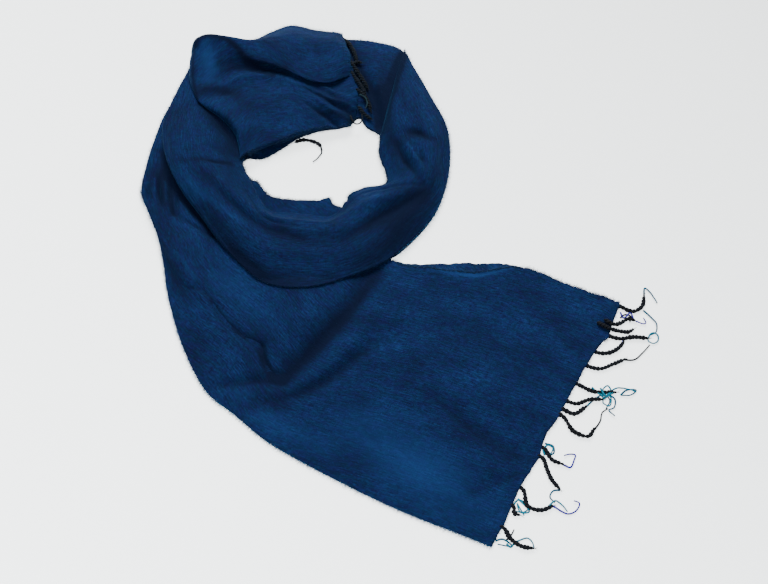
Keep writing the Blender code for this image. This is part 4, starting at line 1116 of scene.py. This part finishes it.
def make_yarn_finish():
    """Spun yarn: each fibre's own colour, broken up along it by fine noise."""
    finish = Finish("shawl yarn", Roughness=0.75, Specular_IOR_Level=0.06, Sheen_Weight=0.04,
                    Sheen_Roughness=0.4, Sheen_Tint=solid_colour((0.35, 0.6, 0.9)))
    yarn = finish.node("ShaderNodeAttribute", {"attribute_name": "yarn", "attribute_type": "GEOMETRY"})
    own = yarn.outputs[0]
    place = finish.node("ShaderNodeTexCoord").outputs["Object"]
    grain = finish.noise(finish.scaled(place, 1500.0, 1500.0, 1500.0), 2.0, 0.6).between(0.3, 0.7)
    darker = finish.scaled(own, 0.45, 0.45, 0.5)
    finish.feed(finish.shader.inputs["Base Color"], finish.mix(grain, darker, own))
    finish.bump(grain, 0.4, 0.0004)


def make_floor_finish():
    """Matt pale paper with a faint grain, lit from below a little more at the front left."""
    stage = bpy.context.scene.shawl_stage
    finish = Finish("pale floor", Roughness=0.9, Specular_IOR_Level=0.1, Emission_Strength=stage.floor_glow)
    place = finish.node("ShaderNodeTexCoord").outputs["Object"]
    axes = finish.node("ShaderNodeSeparateXYZ", inputs={0: place})
    across = (Level(finish, axes.outputs[0]) + Level(finish, axes.outputs[1])).between(-1.0, 1.0)
    glow = np.array(stage.glow_colour)
    finish.feed(finish.shader.inputs["Emission Color"],
                finish.mix(across, solid_colour(glow * 1.6), solid_colour(glow * 0.55)))
    grain = finish.noise(finish.scaled(place, 6.0, 6.0, 6.0), 2.0)
    tone = np.array(stage.floor_colour)
    finish.feed(finish.shader.inputs["Base Color"],
                finish.mix(grain, solid_colour(tone * 0.985), solid_colour(tone)))


def area_light(name, place, aim, size, power, colour):
    """A square soft light that faces a point."""
    light = bpy.data.lights.new(name, "AREA")
    light.size, light.energy, light.color = size, power, colour
    lamp = bpy.data.objects.new(name, light)
    lamp.location = place
    lamp.rotation_euler = (Vector(aim) - Vector(place)).to_track_quat("-Z", "Y").to_euler()
    bpy.context.scene.collection.objects.link(lamp)


def build_stage():
    """The floor, the soft lights and the camera."""
    scene = bpy.context.scene
    stage = scene.shawl_stage
    make_floor_finish()
    mesh = bpy.data.meshes.new("floor")
    half = stage.floor_size / 2
    corners = [(x * half, y * half, -FLOOR_BELOW) for x, y in ((-1, -1), (1, -1), (1, 1), (-1, 1))]
    mesh.from_pydata(corners, [], [(0, 1, 2, 3)])
    mesh.materials.append(bpy.data.materials["pale floor"])
    floor = bpy.data.objects.new("floor", mesh)
    scene.collection.objects.link(floor)
    world = bpy.data.worlds.new("studio")
    world.use_nodes = True
    air = world.node_tree.nodes["Background"]
    air.inputs["Color"].default_value = solid_colour(stage.air_colour)
    air.inputs["Strength"].default_value = stage.air_strength
    scene.world = world
    area_light("back light", (0.0, 2.5, 3.2), (0.0, 0.0, 0.0), 2.2, stage.back_light, (1.0, 1.0, 1.0))
    area_light("top light", (-0.5, -1.3, 1.7), (0.0, -0.2, 0.0), 1.2, stage.top_light, (0.97, 0.99, 1.0))
    camera = bpy.data.cameras.new("camera")
    camera.lens = LENS
    camera.sensor_width = SENSOR
    eye = bpy.data.objects.new("camera", camera)
    down = math.radians(LOOKS_DOWN)
    back = Vector((0.0, -math.cos(down), math.sin(down)))
    eye.location = AIM + back * DISTANCE
    eye.rotation_euler = (-back).to_track_quat("-Z", "Y").to_euler()
    scene.collection.objects.link(eye)
    scene.camera = eye


def tint(name, description, default):
    """A colour of the panel."""
    return FloatVectorProperty(name=name, description=description, default=default, min=0.0, max=1.0,
                               subtype="COLOR")


def setting(name, description, default, least, most, **kind):
    """A number of the panel, with its unit or subtype."""
    return FloatProperty(name=name, description=description, default=default, min=least, max=most, **kind)


class ShawlCloth(bpy.types.PropertyGroup):
    """The cloth's layer, nap and yarns."""

    thickness: setting("Thickness", "One layer of cloth", 0.0009, 0.0004, 0.003, unit="LENGTH")
    thread_pitch: setting("Thread pitch", "From one thread of the weave to the next", 0.0010, 0.0004, 0.004,
                          unit="LENGTH")
    nap_length: setting("Nap", "Longest fibre of the brushed nap", 0.0070, 0.0, 0.01, unit="LENGTH")
    nap_colour: tint("Nap colour", "Colour of the loose fibres", (0.003, 0.018, 0.050))
    # The rim colour is painted rim light on the edge fibres over bare surface.
    painted_rim_light_colour: tint("Rim colour", "Colour of the fibres that stand out at edges", (0.011, 0.075, 0.17))
    # The dark yarn is also the colour of the painted shade, and the light yarn that of the painted light.
    dark_yarn_and_painted_shade: tint("Dark yarn", "Darkest yarn of the cloth", (0.0008, 0.0018, 0.0070))
    main_yarn: tint("Main yarn", "Main navy yarn where it leans to teal", (0.0013, 0.0070, 0.0225))
    violet_yarn: tint("Violet yarn", "Main navy yarn where it leans to violet", (0.0034, 0.0036, 0.0270))
    light_yarn_and_painted_light: tint("Light yarn", "Teal yarn that shows in flecks", (0.0042, 0.0175, 0.0610))
    # Strength of the painted shade, and of the painted light where the attribute is below 0.
    painted_shading_strength: setting("Crease shade", "How far the pressed nap in a crease turns dark", 0.9, 0.0, 1.0,
                          subtype="FACTOR")
    sheen: setting("Sheen", "Strength of the nap's soft shine", 0.04, 0.0, 1.0, subtype="FACTOR")
    sheen_tint: tint("Sheen tint", "Colour of the nap's soft shine", (0.06, 0.45, 0.95))


class ShawlFringe(bpy.types.PropertyGroup):
    """The twisted strands."""

    strand: setting("Strand", "Thickness of a twisted strand", 0.0057, 0.001, 0.01, unit="LENGTH")
    pitch: setting("Twist", "Length of one full turn of the twist", 0.0085, 0.002, 0.05, unit="LENGTH")


class ShawlStage(bpy.types.PropertyGroup):
    """The floor and the light."""

    floor_size: setting("Floor", "Side of the floor", 14.0, 2.0, 50.0, unit="LENGTH")
    floor_colour: tint("Floor colour", "Pale floor", (0.30, 0.31, 0.31))
    floor_glow: setting("Floor glow", "Light that the translucent floor gives off", 2.1, 0.0, 5.0)
    glow_colour: tint("Glow colour", "Colour of the floor's own light", (0.94, 0.985, 1.0))
    air_colour: tint("Air colour", "Light from all round", (0.93, 0.97, 1.0))
    air_strength: setting("Air strength", "Strength of the light from all round", 0.7, 0.0, 5.0)
    back_light: setting("Back light", "Power of the soft light behind", 680.0, 0.0, 5000.0, unit="POWER")
    top_light: setting("Top light", "Power of the light overhead", 60.0, 0.0, 500.0, unit="POWER")


class SHAWL_OT_finishes(bpy.types.Operator):
    """Make the materials of the cloth and the yarn"""

    bl_idname = "shawl.finishes"
    bl_label = "Finishes"

    def execute(self, context):
        make_cloth_finish()
        make_yarn_finish()
        return {"FINISHED"}


class SHAWL_OT_first_pass(bpy.types.Operator):
    """Lay the straight, fringed end and the first turn of the ring"""

    bl_idname = "shawl.first_pass"
    bl_label = "Straight end and first turn"

    def execute(self, context):
        build_first_pass()
        return {"FINISHED"}


class SHAWL_OT_second_pass(bpy.types.Operator):
    """Lay the second turn on the first"""

    bl_idname = "shawl.second_pass"
    bl_label = "Second turn"

    def execute(self, context):
        build_over("second_turn_cloth", "over_turn", SECOND_PASS, plain_layer, SECOND_PASS_FOLDS,
                   SECOND_PASS_PAINTED_SHADING, count=350, points=84, rounds=(12.0, 6.0), lowest=LOWEST,
                   rests=["straight_cloth", "first_turn_cloth"], nap=(11000, 4200),
                   seed=SEEDS["second pass"])
        return {"FINISHED"}


class SHAWL_OT_top_stretch(bpy.types.Operator):
    """Lay the top stretch with its flopped edge over the back of the ring"""

    bl_idname = "shawl.top_stretch"
    bl_label = "Top stretch"

    def execute(self, context):
        build_over("top_stretch_cloth", "top_end", TOP_STRETCH, flopped_layer, TOP_STRETCH_FOLDS,
                   TOP_STRETCH_PAINTED_SHADING, count=120, points=150, rounds=(10.0, 20.0), lowest=HANGS_AT,
                   rests=["first_turn_cloth", "second_turn_cloth"], nap=(6000, 3000),
                   seed=SEEDS["top stretch"])
        return {"FINISHED"}


class SHAWL_OT_fringe(bpy.types.Operator):
    """Twist the strands of both ends and the stray one in the hole"""

    bl_idname = "shawl.fringe"
    bl_label = "Fringe"

    def execute(self, context):
        build_fringe()
        return {"FINISHED"}


class SHAWL_OT_stage(bpy.types.Operator):
    """Set the pale floor, the soft lights and the camera"""

    bl_idname = "shawl.stage"
    bl_label = "Stage"

    def execute(self, context):
        build_stage()
        return {"FINISHED"}


OPERATORS = (SHAWL_OT_finishes, SHAWL_OT_first_pass, SHAWL_OT_second_pass, SHAWL_OT_top_stretch,
             SHAWL_OT_fringe, SHAWL_OT_stage)


class SHAWL_PT_panel(bpy.types.Panel):
    """Sizes, colours and steps of the shawl"""

    bl_idname = "SHAWL_PT_panel"
    bl_label = "Wound shawl"
    bl_space_type = "VIEW_3D"
    bl_region_type = "UI"
    bl_category = "Shawl"

    def draw(self, context):
        for settings in (context.scene.shawl_cloth, context.scene.shawl_fringe, context.scene.shawl_stage):
            box = self.layout.box()
            for key in settings.__annotations__:
                box.prop(settings, key)
        for operator in OPERATORS:
            self.layout.operator(operator.bl_idname)


CLASSES = (ShawlCloth, ShawlFringe, ShawlStage, *OPERATORS, SHAWL_PT_panel)


def register():
    for item in CLASSES:
        bpy.utils.register_class(item)
    bpy.types.Scene.shawl_cloth = PointerProperty(type=ShawlCloth)
    bpy.types.Scene.shawl_fringe = PointerProperty(type=ShawlFringe)
    bpy.types.Scene.shawl_stage = PointerProperty(type=ShawlStage)


def unregister():
    del bpy.types.Scene.shawl_cloth
    del bpy.types.Scene.shawl_fringe
    del bpy.types.Scene.shawl_stage
    for item in reversed(CLASSES):
        bpy.utils.unregister_class(item)


def main():
    """Build everything in order."""
    register()
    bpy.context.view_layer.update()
    for step in (bpy.ops.shawl.finishes, bpy.ops.shawl.first_pass, bpy.ops.shawl.second_pass,
                 bpy.ops.shawl.top_stretch, bpy.ops.shawl.fringe, bpy.ops.shawl.stage):
        step()
    bpy.context.view_layer.update()


if __name__ == "__main__":
    main()
